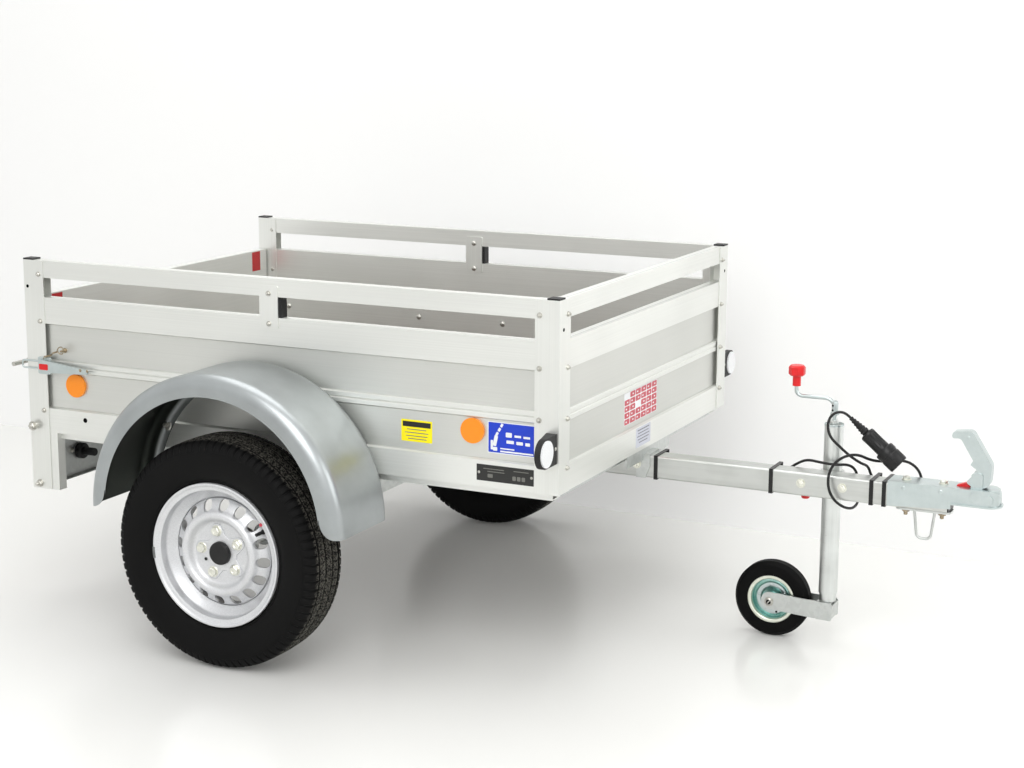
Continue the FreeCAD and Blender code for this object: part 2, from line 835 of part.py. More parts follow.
def latches():
    pair = []
    for side, sign in sides:
        z = "board_bottom + latch_up"
        mid_x = "rear_x + latch_base_start + latch_base_length / 2"
        base = rounded("latch_base_" + side, "XZ_Plane", (mid_x, "%s * (half_y + latch_thick / 2)" % sign, z),
                       "latch_base_length", "latch_base_height", "latch_base_corner", "latch_thick")
        ring = [("0", "-1 * lever_root / 2", "latch_base_corner"),
                ("lever_length", "-1 * lever_tip / 2 - lever_tip_drop", "lever_tip / 3"),
                ("lever_length", "lever_tip / 2 - lever_tip_drop", "lever_tip / 3"),
                ("0", "lever_root / 2", "latch_base_corner")]
        at = ("rear_x + latch_base_start + lever_start",
              "%s * (half_y + latch_thick + lever_thick / 2)" % sign, z)
        lever = padded("latch_lever_" + side, "XZ_Plane", [ring], "lever_thick", at)
        run = [("0", "0"), ("-1 * bail_length", "0", "bail_round"),
               ("-1 * bail_length", "-2 * bail_half", "bail_round"), ("0", "-2 * bail_half")]
        bail = bent_rod("latch_bail_" + side, run, "bail_wire",
                        ("rear_x + latch_base_start", "%s * (half_y + latch_thick / 2)" % sign, z + " + bail_half"),
                        "YZ_Plane")
        pair.append(fuse("tailgate_latch_" + side, [base, lever, bail]))
    keep("tailgate_latches", group("tailgate_latches", pair))


def reflectors():
    discs = []
    holders = []
    markers = []
    for side, sign in sides:
        start = "board_out - recess_depth" if sign == "1" else (
            "-1 * (board_out - recess_depth) - reflector_thick")
        for end, x in (("rear", "rear_x + reflector_rear"), ("front", "front_x - reflector_front")):
            discs.append(rod("disc_%s_%s" % (end, side), "Y", (x, start, "board_bottom + reflector_up"),
                             "reflector_radius", "reflector_thick"))
        up = "board_bottom + marker_up"
        out = "%s * (half_y + marker_out)" % sign
        back = "front_x - marker_thick - marker_depth"
        ring = [("front_x - marker_thick", "%s * half_y" % sign), ("front_x - marker_thick", out), (back, out),
                ("front_x - post_side", "%s * half_y" % sign)]
        arm = padded("marker_arm_" + side, "XY_Plane", [ring], "2 * (marker_radius + marker_thick)", ("0", "0", up))
        cup = rod("marker_cup_" + side, "X", (back, out, up), "marker_radius + marker_thick", "marker_depth")
        holders.append(fuse("marker_holder_" + side, [arm, cup]))
        markers.append(rod("marker_" + side, "X",
                           ("front_x - marker_thick", out, up), "marker_radius", "marker_thick"))
    keep("side_reflectors", group("side_reflectors", discs))
    keep("front_marker_holders", group("front_marker_holders", holders))
    keep("front_markers", group("front_markers", markers))


# Wheels

def tyre(side, sign):
    mid_r = "tyre_radius - tyre_mid_drop"
    bead = "rim_seat_radius"
    outer = [("-1 * tread_half", "tyre_radius", "side_wall * 2"), ("tread_half", "tyre_radius", "side_wall * 2"),
             ("tyre_half", mid_r, "tyre_mid_drop / 2"), ("rim_half", "rim_flange_radius + rim_wall"),
             ("rim_half", bead), ("rim_half - tread_wall", bead)]
    inner = [("tyre_half - side_wall", mid_r), ("tread_half - side_wall", "tyre_radius - tread_wall"),
             ("-1 * (tread_half - side_wall)", "tyre_radius - tread_wall"), ("-1 * (tyre_half - side_wall)", mid_r)]
    closing = [("-1 * (rim_half - tread_wall)", bead), ("-1 * rim_half", bead),
               ("-1 * rim_half", "rim_flange_radius + rim_wall"), ("-1 * tyre_half", mid_r, "tyre_mid_drop / 2")]
    at = ("axle_x", "%s * wheel_mid" % sign, "tyre_radius")
    keep("tyre_" + side, turned("tyre_" + side, [outer + inner + closing], at))


def rim(side, sign):
    well = "rim_well_radius"
    inside = "rim_well_radius - rim_wall"
    flange = "rim_flange_radius"
    lip = "rim_half + rim_lip"
    seat_in = "rim_seat_radius - rim_wall"
    slope = "well_half + well_slope"
    marks = [
        ("rim_half", flange), ("rim_half", "rim_seat_radius"), (slope, "rim_seat_radius"), ("well_half", well),
        ("-1 * well_half", well), ("-1 * (%s)" % slope, "rim_seat_radius"), ("-1 * rim_half", "rim_seat_radius"),
        ("-1 * rim_half", flange), ("-1 * (%s)" % lip, flange), ("-1 * (%s)" % lip, flange + " - rim_wall * 2"),
        ("-1 * (rim_half + rim_wall)", flange + " - rim_wall * 2"), ("-1 * (rim_half + rim_wall)", seat_in),
        ("-1 * (%s + rim_wall)" % slope, seat_in), ("-1 * (well_half + rim_wall)", inside),
        ("disc_root", inside),
        ("disc_root", inside + " - disc_wall"),
        ("well_half - disc_wall", inside + " - disc_wall"),
        ("disc_crown - disc_wall", "crown_radius + crown_half"),
        ("disc_crown - disc_wall", "crown_radius - crown_half"),
        ("disc_face", "disc_dish_radius"),
        ("disc_face", "disc_bore_radius"),
        ("disc_face + disc_wall", "disc_bore_radius"),
        ("disc_face + disc_wall", "disc_dish_radius"),
        ("disc_crown", "crown_radius - crown_half"),
        ("disc_crown", "crown_radius + crown_half + disc_wall"),
        ("well_half + disc_heel", inside),
        ("well_half + rim_wall", inside),
        ("%s + rim_wall" % slope, seat_in), ("rim_half + rim_wall", seat_in),
        ("rim_half + rim_wall", flange + " - rim_wall * 2"), (lip, flange + " - rim_wall * 2"), (lip, flange),
    ]
    ring = [("%s * (%s)" % (sign, along), radius) for along, radius in marks]
    at = ("axle_x", "%s * wheel_mid" % sign, "tyre_radius")
    body = turned("rim_" + side, [ring], at)
    sketch = outline(body, "hand_hole_" + side, "XZ_Plane", [[("0", "hand_hole_ring", "hand_hole_radius")]])
    pocket = body.newObject("PartDesign::Pocket", "hand_hole_cut_" + side)
    pocket.Profile = sketch
    pocket.SideType = "Symmetric"
    pocket.setExpression("Length", qualified("2 * (disc_crown + overrun)"))
    pattern = body.newObject("PartDesign::PolarPattern", "hand_holes_" + side)
    pattern.Originals = [pocket]
    pattern.Axis = (origin_part(body, "Y_Axis"), [""])
    pattern.Angle = 360
    pattern.Occurrences = hand_holes
    body.Tip = pattern
    keep("rim_" + side, body)


hand_holes = 16
wheel_bolts = 5
bolt_turn = 8


def hub(side, sign):
    bore = "stub_radius + hub_bore_gap"
    back = "disc_face - hub_flange_thick - hub_barrel_length"
    marks = [("disc_face", bore), ("disc_face", "hub_flange_radius"),
             ("disc_face - hub_flange_thick", "hub_flange_radius"),
             ("disc_face - hub_flange_thick", "hub_barrel_radius"), (back, "hub_barrel_radius"), (back, bore)]
    ring = [("%s * (%s)" % (sign, along), radius) for along, radius in marks]
    at = ("axle_x", "%s * wheel_mid" % sign, "tyre_radius")
    heads = [turned("hub_barrel_" + side, [ring], at)]
    for number in range(wheel_bolts):
        turn = number * 360 / wheel_bolts + bolt_turn
        x = "axle_x + bolt_ring * sin(%g deg)" % turn
        z = "tyre_radius + bolt_ring * cos(%g deg)" % turn
        face = "wheel_mid + disc_face + disc_wall"
        start = face if sign == "1" else "-1 * (%s + bolt_head_length)" % face
        heads.append(rod("wheel_bolt_%s_%d" % (side, number), "Y", (x, start, z), "bolt_head_radius",
                         "bolt_head_length"))
    keep("hub_" + side, group("hub_" + side, heads))
    foot = "%s * (disc_face + hub_cap_gap)" % sign
    face = "%s * (disc_face + hub_cap_gap + disc_wall + hub_cap_length)" % sign
    cap = [(foot, "0"), (foot, "disc_bore_radius"), (face, "disc_bore_radius", "hub_cap_round"), (face, "0")]
    keep("hub_cap_" + side, turned("hub_cap_" + side, [cap], at))


def axle():
    low = ("beam_x - beam_side / 2", "-1 * beam_half", "beam_z - beam_side / 2")
    size = ("beam_side", "2 * beam_half", "beam_side")
    keep("axle_beam", tube_box("axle_beam", low, size, "beam_wall", 1))
    saddles = []
    for side, sign in sides:
        inner = "beam_half"
        start = inner if sign == "1" else "-1 * (%s + arm_thick)" % inner
        big = rod("arm_big_" + side, "Y", ("beam_x", start, "beam_z"), "arm_width / 2", "arm_thick")
        small = rod("arm_small_" + side, "Y", ("axle_x", start, "tyre_radius"), "arm_width / 2", "arm_thick")
        web = padded("arm_web_" + side, "XZ_Plane", [[
            ("axle_x", "tyre_radius - arm_width / 2"), ("beam_x", "beam_z - arm_width / 2"),
            ("beam_x", "beam_z + arm_width / 2"), ("axle_x", "tyre_radius + arm_width / 2")]], "arm_thick",
            ("0", "%s * (%s + arm_thick / 2)" % (sign, inner), "0"))
        stub_end = "wheel_mid + disc_face - hub_cap_gap"
        stub_start = "%s + arm_thick" % inner if sign == "1" else "-1 * (%s)" % stub_end
        stub = rod("stub_" + side, "Y", ("axle_x", stub_start, "tyre_radius"), "stub_radius",
                   "%s - (%s + arm_thick)" % (stub_end, inner))
        keep("swing_arm_" + side, fuse("swing_arm_" + side, [big, small, web, stub]))
        saddle_low = "half_y - chassis_inset - chassis_width"
        low_y = saddle_low if sign == "1" else "-1 * (half_y - chassis_inset)"
        low = ("beam_x - saddle_width / 2", low_y, "beam_top")
        size = ("saddle_width", "chassis_width", "chassis_bottom - beam_top")
        saddles.append(tube_box("axle_saddle_" + side, low, size, "saddle_wall", 1))
    keep("axle_saddles", group("axle_saddles", saddles))


def mudguard(side, sign):
    outer = "guard_width"
    marks = [
        ("0", "guard_radius - guard_flange"), ("guard_wall", "guard_radius - guard_flange"),
        ("guard_wall", "guard_radius - guard_wall", "guard_inner_round - guard_wall"),
        (outer + " - guard_wall", "guard_radius - guard_wall", "guard_shoulder - guard_wall"),
        (outer + " - guard_wall", "guard_radius - guard_lip"), (outer, "guard_radius - guard_lip"),
        (outer, "guard_radius", "guard_shoulder"), ("0", "guard_radius", "guard_inner_round"),
    ]
    ring = [("%s * (%s)" % (sign, along), mark[0]) + tuple(mark[1:])
            for along, *mark in marks]
    at = ("axle_x", "%s * board_out" % sign, "tyre_radius + guard_rise")
    arch = turned("mudguard_arch_" + side, [ring], at, angle=180, middle=True)
    corners = []
    for end, way in (("rear", "-1"), ("front", "1")):
        low = "(guard_radius - guard_lip)"
        inner = "%s * (%s - overrun)" % (way, low)
        outer_x = "%s * (%s + guard_corner + overrun)" % (way, low)
        ring = [(inner, "-1 * overrun"), (outer_x, "-1 * overrun"), (outer_x, "0"),
                ("%s * %s" % (way, low), "0", "guard_corner"),
                ("%s * %s" % (way, low), "guard_corner + overrun"), (inner, "guard_corner + overrun")]
        across = "%s * (board_out + guard_width - guard_shoulder / 2)" % sign
        corners.append(padded("mudguard_%s_corner_%s" % (end, side), "XZ_Plane", [ring],
                              "guard_shoulder + overrun", ("axle_x", across, "tyre_radius + guard_rise")))
    keep("mudguard_" + side, cut("mudguard_" + side, arch, fuse("mudguard_corners_" + side, corners)))


def drawbar():
    half = "bar_side / 2"
    ring = [("-1 * " + half, "-1 * " + half, "bar_corner"), (half, "-1 * " + half, "bar_corner"),
            (half, half, "bar_corner"), ("-1 * " + half, half, "bar_corner")]
    inner_half = "(bar_side / 2 - bar_wall)"
    radius = "bar_corner - bar_wall"
    hole = [("-1 * " + inner_half, "-1 * " + inner_half, radius), (inner_half, "-1 * " + inner_half, radius),
            (inner_half, inner_half, radius), ("-1 * " + inner_half, inner_half, radius)]
    rear = "beam_x - beam_side / 2"
    at = ("(bar_front + %s) / 2" % rear, "0", "bar_top - bar_side / 2")
    keep("drawbar", padded("drawbar", "YZ_Plane", [ring, hole], "bar_front - (%s)" % rear, at))


def drawbar_bracket():
    height = "board_bottom - bar_top + bracket_drop"
    plate = rounded("bracket_plate", "YZ_Plane",
                    ("front_x - post_wall - bracket_wall / 2", "0", "board_bottom - (%s) / 2" % height),
                    "2 * bracket_half", "(%s)" % height, "bracket_corner", "bracket_wall")
    room = box("bracket_bar_room", ("front_x - bracket_back - overrun", "-1 * bar_side / 2", "bar_bottom"),
               ("bracket_back + bracket_reach + 2 * overrun", "bar_side", "bar_side"))
    pieces = [cut("bracket_front", plate, room)]
    for side, sign in sides:
        ring = [("-1 * bracket_back", "0"), ("bracket_reach", "0"), ("bracket_reach", "-1 * bracket_gusset"),
                ("bracket_reach - bracket_drop", "-1 * bar_side"), ("-1 * bracket_back", "-1 * bar_side")]
        pieces.append(padded("bracket_cheek_" + side, "XZ_Plane", [ring], "bracket_wall",
                             ("front_x", "%s * (bar_side + bracket_wall) / 2" % sign, "bar_top")))
    shelf = box("bracket_shelf", ("front_x - bracket_back", "-1 * bar_side / 2 - bracket_wall", "bar_top"),
                ("bracket_back + bracket_reach", "bar_side + 2 * bracket_wall", "bracket_wall"))
    pieces.append(shelf)
    keep("drawbar_bracket", fuse("drawbar_bracket", pieces))


def nose_plan(name, start, reach, low, height):
    """Flat form of the coupling with its rounded nose, spread by reach on every side."""
    half = "(coupling_half + %s)" % reach
    tip = "nose_x - lip_reach + %s" % reach
    ring = [(start, "-1 * " + half), (tip, "-1 * " + half, "coupling_round + " + reach),
            (tip, half, "coupling_round + " + reach), (start, half)]
    return padded(name, "XY_Plane", [ring], height, ("0", "0", "%s + (%s) / 2" % (low, height)))


def coupling():
    top = "bar_side + coupling_top"
    tip = "coupling_length - lip_reach"
    side_ring = [("0", "skirt_rise"), ("coupling_seam", "seam_rise"), ("coupling_seam", "lip_rise"),
                 (tip, "lip_rise", "nose_low_round"), (tip, top, "nose_round"), ("0", top)]
    at = ("coupling_rear", "0", "bar_bottom")
    side_form = padded("coupling_side_form", "XZ_Plane", [side_ring], "2 * coupling_half", at)
    plan_form = nose_plan("coupling_plan_form", "coupling_rear", "0", "bar_bottom", top)
    housing = shared("coupling_housing", [side_form, plan_form])
    lip = nose_plan("coupling_lip", "coupling_rear + coupling_seam", "lip_reach", "socket_floor", "lip_wall")
    boss = rod("coupling_boss", "Y", ("socket_x + boss_ahead", "-1 * (coupling_half + boss_reach)",
                                      "coupling_roof - nose_round"), "boss_radius",
               "2 * (coupling_half + boss_reach)")
    bar_room = box("coupling_bar_room", ("coupling_rear - overrun", "-1 * bar_side / 2", "bar_bottom - overrun"),
                   ("bar_front - coupling_rear + overrun", "bar_side", "bar_side + overrun"))
    nose_room = box("coupling_nose_room", ("bar_front - overrun", "-1 * bar_side / 2", "bar_bottom - overrun"),
                    ("socket_x - bar_front + overrun", "bar_side",
                     "coupling_roof - socket_roof - bar_bottom + overrun"))
    shell = cut("coupling_shell", fuse("coupling_forms", [housing, lip, boss]),
                fuse("coupling_rooms", [bar_room, nose_room]))
    cup = rod("coupling_cup", "Z", ("socket_x", "0", "socket_floor"), "socket_radius + socket_wall",
              "coupling_roof - socket_floor")
    ears = []
    for side, sign in sides:
        ring = [("-1 * ear_half", "0"), ("ear_half", "0"), ("ear_half", "ear_height", "ear_half / 2"),
                ("-1 * ear_half", "ear_height", "ear_half / 2")]
        ears.append(padded("coupling_ear_" + side, "XZ_Plane", [ring], "ear_wall",
                           ("handle_x", "%s * (handle_width + ear_wall) / 2" % sign, "coupling_roof")))
    bore = rod("coupling_bore", "Z", ("socket_x", "0", "socket_floor - overrun"), "socket_radius",
               "coupling_roof - socket_roof - socket_floor + overrun")
    keep("coupling_body", cut("coupling_body", fuse("coupling_union", [shell, cup] + ears), bore))
    wedge = [("0", "0"), ("indicator_length", "0"), ("indicator_length", "indicator_height"),
             ("indicator_length - indicator_height", "indicator_height"), ("0", "indicator_gap / 2")]
    at = ("handle_x - ear_half - indicator_gap - indicator_length", "0", "coupling_roof")
    keep("coupling_indicator", padded("coupling_indicator", "XZ_Plane", [wedge], "indicator_width", at))


# The lever's outline in shares of its length: forward and up from its foot, then the corner's radius
handle_shares = (
    (-0.055, 0.0, 0.03), (0.22, 0.02, 0.15), (0.235, 0.42, 0.15), (-0.13, 1.0, 0.13), (-0.46, 0.955, 0.06),
    (-0.474, 0.836, 0.04), (-0.32, 0.85, 0.08), (-0.09, 0.478, 0.02), (-0.134, 0.403, 0.02),
    (0.0075, 0.306, 0.05), (-0.2, 0.09, 0.04),
)


def handle_form(name, width, back, down):
    ring = [("%g * handle_length" % forward, "%g * handle_length" % up, "%g * handle_length" % corner)
            for forward, up, corner in handle_shares]
    return padded(name, "XZ_Plane", [ring], width, ("handle_x - %s" % back, "0", "coupling_roof - %s" % down))


def coupling_handle():
    solid = handle_form("handle_solid", "handle_width", "0", "0")
    inside = handle_form("handle_inside", "handle_width - 2 * handle_wall", "handle_wall", "handle_wall")
    foot = rod("handle_foot", "Y", ("handle_x", "-1 * handle_width / 2", "coupling_roof + handle_pivot_up"),
               "ear_half", "handle_width")
    keep("coupling_handle", fuse("coupling_handle", [cut("handle_shell", solid, inside), foot]))


def safety_hanger():
    plate_x = "coupling_rear + hanger_plate_start"
    mid_x = "%s + hanger_plate_length / 2" % plate_x
    plate = rounded("hanger_plate_form", "XY_Plane", (mid_x, "0", "bar_bottom - hanger_plate / 2"),
                    "hanger_plate_length", "2 * hanger_plate_half", "hanger_round", "hanger_plate")
    narrow = "hanger_top_half - hanger_low_half"
    run = [("0", "0"), ("0", "-1 * hanger_start", "hanger_start"), (narrow, "-1 * hanger_drop", "hanger_round"),
           ("2 * hanger_top_half - (%s)" % narrow, "-1 * hanger_drop", "hanger_round"),
           ("2 * hanger_top_half", "-1 * hanger_start", "hanger_start"), ("2 * hanger_top_half", "0")]
    wire = bent_rod("hanger_loop", run, "hanger_wire", (mid_x + " - hanger_top_half", "0", "bar_bottom - hanger_plate"),
                    "XY_Plane")
    keep("cable_hanger", fuse("cable_hanger", [plate, wire]))


# Tow cable: the places its middle passes, from the gland to the plug

cable_route = (
    (354, 42, 436), (410, 42, 436), (496, 39, 432), (588, 38, 437), (658, 39, 437), (702, 41, 450),
    (728, 43, 470), (758, 28, 486), (798, 17, 484), (836, 18, 482), (862, 30, 484), (878, 47, 470),
    (886, 50, 438), (889, 50, 404), (890, 36, 386), (889, 8, 381), (884, -18, 383), (870, -39, 392),
    (850, -49, 410), (835, -50, 440), (836, -47, 482), (858, -38, 514), (896, -22, 527), (928, 12, 504),
    (962, 40, 500), (1004, 50, 506), (1036, 50, 488), (1048, 50, 456), (1038, 50, 428), (1008, 49, 418),
    (968, 46, 426), (936, 47, 436), (918, 48, 457), (911, 42, 483), (900, 14, 494), (876, -11, 517),
    (851, -24, 543), (830, -26, 562), (821, -22, 586), (822.5, -16, 606), (831, -9, 619), (845, -3, 624),
    (860.6, 0, 620.9), (873, 0, 610.5),
)
arc_share = 0.45
tie_shares = (0.032, 0.427, 0.7544, 0.795)


def cable_path():
    spots = [Vector(*spot) for spot in cable_route]
    edges = []
    radii = []
    here = spots[0]
    for before, spot, after in zip(spots, spots[1:], spots[2:]):
        into = before - spot
        out = after - spot
        half = into.getAngle(out) / 2
        reach = arc_share * min(into.Length, out.Length)
        radius = reach * math.tan(half)
        into.normalize()
        out.normalize()
        start = spot + into * reach
        stop = spot + out * reach
        centre = spot + (into + out).normalize() * (reach / math.cos(half))
        middle = centre + (spot - centre).normalize() * radius
        edges.append(Part.LineSegment(here, start).toShape())
        edges.append(Part.Arc(start, middle, stop).toShape())
        radii.append(radius)
        here = stop
    edges.append(Part.LineSegment(here, spots[-1]).toShape())
    return Part.Wire(edges), radii


def tow_cable():
    wire, radii = cable_path()
    radius = value("cable_diameter / 2")
    start = Vector(*cable_route[0])
    section = Part.Wire(Part.makeCircle(radius, start, Vector(*cable_route[1]) - start))
    tube = doc.addObject("Part::Feature", "tow_cable")
    tube.Shape = wire.makePipeShell([section], True, True)
    keep("tow_cable", tube)
    print("cable length %.0f, radii %s" % (wire.Length, " ".join("%.0f" % size for size in radii)))
    print("cable volume over section times length %.4f" % (tube.Shape.Volume / (math.pi * radius ** 2 * wire.Length)))
    exit_at = cable_route[0]
    rest = "(%g - gland_length)" % exit_at[0]
    face = "bar_side / 2 + bracket_wall"
    sleeve = rod("gland_sleeve", "X", (rest, "%g" % exit_at[1], "%g" % exit_at[2]), "gland_radius", "gland_length")
    pad = box("gland_pad", (rest, face, "%g - gland_radius" % exit_at[2]),
              ("gland_length", "%g - (%s)" % (exit_at[1], face), "2 * gland_radius"))
    keep("cable_gland", fuse("cable_gland", [sleeve, pad]))
    plug_run = Vector(*cable_route[-1]) - Vector(*cable_route[-2])
    boot_end = "boot_length"
    body_end = "boot_length + plug_length"
    plug_end = "boot_length + plug_length + collar_length"
    ring = [("0", "0"), ("0", "boot_tip_radius"), (boot_end, "boot_radius"), (boot_end, "plug_radius", "plug_round"),
            (body_end, "plug_radius"), (body_end, "collar_radius", "plug_round"),
            (plug_end, "collar_radius", "plug_round"), (plug_end, "0")]
    at = ["%g" % place for place in cable_route[-1]]
    keep("tow_plug", turned("tow_plug", [ring], at, facing=Rotation(Vector(0, 1, 0), plug_run)))
    ties = []
    for number, share in enumerate(tie_shares):
        low = ("front_x + %g * (bar_front - front_x)" % share, "-1 * bar_side / 2 - tie_wall", "bar_bottom - tie_wall")
        size = ("tie_width", "bar_side + cable_room + 2 * tie_wall", "bar_side + 2 * tie_wall")
        ties.append(tube_box("cable_tie_%d" % number, low, size, "tie_wall", 0))
    keep("cable_ties", group("cable_ties", ties))


# Jockey wheel

def jockey_clamp():
    mid_z = "bar_top - bar_side / 2"
    low_z = "bar_top - bar_side / 2 - clamp_height / 2"
    plate = rounded("clamp_back", "XZ_Plane", ("mast_x", "(bar_side + clamp_plate) / 2", mid_z), "2 * clamp_half",
                    "clamp_height", "clamp_corner", "clamp_plate")
    block = box("clamp_block", ("mast_x - mast_radius / 2", "bar_side / 2", low_z),
                ("mast_radius", "mast_offset - bar_side / 2", "clamp_height"))
    ring = rod("clamp_ring_outer", "Z", ("mast_x", "mast_offset", low_z), "mast_radius + clamp_ring", "clamp_height")
    ear = box("clamp_ear", ("mast_x - clamp_half", "bar_side / 2", low_z),
              ("clamp_ear_length", "clamp_ear_reach", "clamp_ear_height"))
    knob_x = "mast_x - clamp_half + clamp_ear_length / 2"
    knob_y = "bar_side / 2 + clamp_ear_reach / 2"
    screw = rod("clamp_screw", "Z", (knob_x, knob_y, low_z + " - screw_drop"), "screw_radius",
                "screw_drop + clamp_ear_height / 2")
    bore = rod("clamp_ring_bore", "Z", ("mast_x", "mast_offset", "bar_top - bar_side"),
               "mast_radius + hinge_clearance", "bar_side + overrun")
    bar_room = box("clamp_bar_room", ("mast_x - clamp_half", "-1 * bar_side", "bar_bottom"),
                   ("2 * clamp_half", "3 * bar_side / 2", "bar_side + overrun"))
    whole = fuse("clamp_union", [plate, block, ring, ear, screw])
    keep("jockey_clamp", cut("jockey_clamp", whole, fuse("clamp_room", [bore, bar_room])))
    foot = "%s - screw_drop" % low_z
    knob = [("0", "0"), ("0", "clamp_knob_radius", "clamp_knob_round"),
            ("clamp_knob_height", "clamp_knob_radius", "clamp_knob_round"), ("clamp_knob_height", "0")]
    keep("clamp_knob", turned("clamp_knob", [knob], (knob_x, knob_y, foot + " - clamp_knob_height"), facing=along_z))


def jockey_mast():
    outer = rod("mast_outer", "Z", ("mast_x", "mast_offset", "mast_bottom"), "mast_radius", "mast_length")
    bore = rod("mast_bore", "Z", ("mast_x", "mast_offset", "mast_bottom - overrun"),
               "mast_radius - mast_wall", "mast_length - mast_wall + overrun")
    cap = rod("mast_cap", "Z", ("mast_x", "mast_offset", "mast_top"), "mast_cap_radius", "mast_cap_height")
    keep("jockey_tube", fuse("jockey_tube", [cut("mast_tube", outer, bore), cap]))
    leg_radius = "mast_radius - mast_wall - leg_gap"
    leg_bottom = "fork_bottom + fork_height + yoke_gap"
    leg = rod("leg_outer", "Z", ("mast_x", "mast_offset", leg_bottom), leg_radius,
              "mast_bottom + leg_hidden - (%s)" % leg_bottom)
    pin = rod("leg_pin", "Z", ("mast_x", "mast_offset", "fork_bottom - yoke_gap"), "pin_radius",
              "fork_height + 2 * yoke_gap")
    keep("jockey_leg", fuse("jockey_leg", [leg, pin]))


def jockey_fork():
    low = "fork_bottom"
    high = "fork_bottom + fork_height"
    pieces = []
    for side, sign in sides:
        end = "-1 * (fork_trail + fork_end)"
        ring = [(end, "jockey_radius - fork_end", "fork_end_round"), ("fork_back", low, "fork_corner"),
                ("fork_back", high, "fork_corner"), (end, "jockey_radius + fork_end", "fork_end_round")]
        offset = "mast_offset + %s * (fork_inner_half + fork_plate / 2)" % sign
        pieces.append(padded("fork_arm_" + side, "XZ_Plane", [ring], "fork_plate", ("mast_x", offset, "0")))
    inner_y = "mast_offset - fork_inner_half"
    across = "2 * fork_inner_half"
    pieces.append(box("fork_web", ("mast_x + fork_back - fork_plate", inner_y, low + " + fork_corner"),
                      ("fork_plate", across, "fork_height - 2 * fork_corner")))
    for name, level in (("low", low), ("high", high + " - fork_plate")):
        pieces.append(box("fork_%s_plate" % name, ("mast_x - fork_front", inner_y, level),
                          ("fork_front + fork_back - fork_corner", across, "fork_plate")))
    pieces.append(rod("fork_barrel", "Z", ("mast_x", "mast_offset", low), "pin_radius + fork_plate", "fork_height"))
    pieces.append(rod("fork_axle", "Y", ("fork_wheel_x", "mast_offset - fork_inner_half - fork_plate",
                                         "jockey_radius"), "jockey_axle_radius",
                      "2 * (fork_inner_half + fork_plate)"))
    bore = rod("yoke_bore", "Z", ("mast_x", "mast_offset", "fork_bottom - overrun"),
               "pin_radius + hinge_clearance", "fork_height + 2 * overrun")
    keep("jockey_fork", cut("jockey_fork", fuse("fork_union", pieces), bore))


def both_sides(marks):
    """Close a half profile with its mirror image."""
    return list(marks) + [("-1 * (%s)" % mark[0],) + tuple(mark[1:]) for mark in reversed(marks)]


def jockey_wheel():
    at = ("fork_wheel_x", "mast_offset", "jockey_radius")
    tread = [("jockey_tyre_half", "jockey_rim_radius"),
             ("jockey_tyre_half", "jockey_radius - jockey_shoulder", "jockey_shoulder / 2"),
             ("jockey_tread_half", "jockey_radius", "jockey_shoulder / 2")]
    keep("jockey_tyre", turned("jockey_tyre", [both_sides(tread)], at))
    bore = "jockey_axle_radius + hub_bore_gap"
    seat = "jockey_rim_radius - jockey_rim_wall"
    half = [("jockey_hub_half", bore), ("jockey_hub_half", "jockey_hub_radius"),
            ("jockey_ring_half", "jockey_hub_radius"), ("jockey_ring_half", "jockey_ring_radius"),
            ("jockey_web_half", "jockey_ring_radius + jockey_web_half"), ("jockey_web_half", "jockey_web_radius"),
            ("jockey_rim_half", seat), ("jockey_rim_half", "jockey_rim_radius")]
    keep("jockey_rim", turned("jockey_rim", [both_sides(half)], at))


knob_faces = 8


def jockey_crank():
    run = [("0", "0"), ("0", "crank_rise", "crank_big_bend"), ("-1 * crank_throw", "crank_rise", "crank_small_bend"),
           ("-1 * crank_throw", "crank_rise + crank_end + crank_rod")]
    keep("jockey_crank", bent_rod("jockey_crank", run, "crank_rod", ("mast_x", "mast_offset", "crank_foot"),
                                  "XY_Plane"))
    foot = "crank_foot + crank_rise + crank_end + crank_rod"
    head_foot = foot + " + knob_neck_height"
    neck = rod("knob_neck_piece", "Z", ("crank_x", "mast_offset", foot), "knob_neck", "knob_neck_height")
    corners = []
    for number in range(knob_faces):
        turn = (number + 0.5) * 360 / knob_faces
        corners.append(("knob_radius * cos(%g deg)" % turn, "knob_radius * sin(%g deg)" % turn))
    prism = padded("knob_prism", "XY_Plane", [corners], "knob_height",
                   ("crank_x", "mast_offset", head_foot + " + knob_height / 2"))
    barrel = turned("knob_barrel", [[("0", "0"), ("0", "knob_radius - knob_chamfer"),
                                     ("knob_chamfer", "knob_radius"), ("knob_height - knob_chamfer", "knob_radius"),
                                     ("knob_height", "knob_radius - knob_chamfer"), ("knob_height", "0")]],
                    ("crank_x", "mast_offset", head_foot), facing=along_z)
    keep("jockey_knob", fuse("jockey_knob", [neck, shared("knob_head", [prism, barrel])]))


def build():
    for side, sign in sides:
        side_board(side, sign)
    keep("front_board", end_board("front_board", "1", "front_x - post_wall - board_thick", "half_y - post_side"))
    posts()
    post_caps()
    rails()
    rail_clamps()
    floor_and_chassis()
    lamp_panel()
    tailgate()
    latches()
    reflectors()
    for side, sign in sides:
        tyre(side, sign)
        rim(side, sign)
        hub(side, sign)
        mudguard(side, sign)
    axle()
    drawbar()
    drawbar_bracket()
    coupling()
    coupling_handle()
    safety_hanger()
    tow_cable()
    jockey_clamp()
    jockey_mast()
    jockey_fork()
    jockey_wheel()
    jockey_crank()


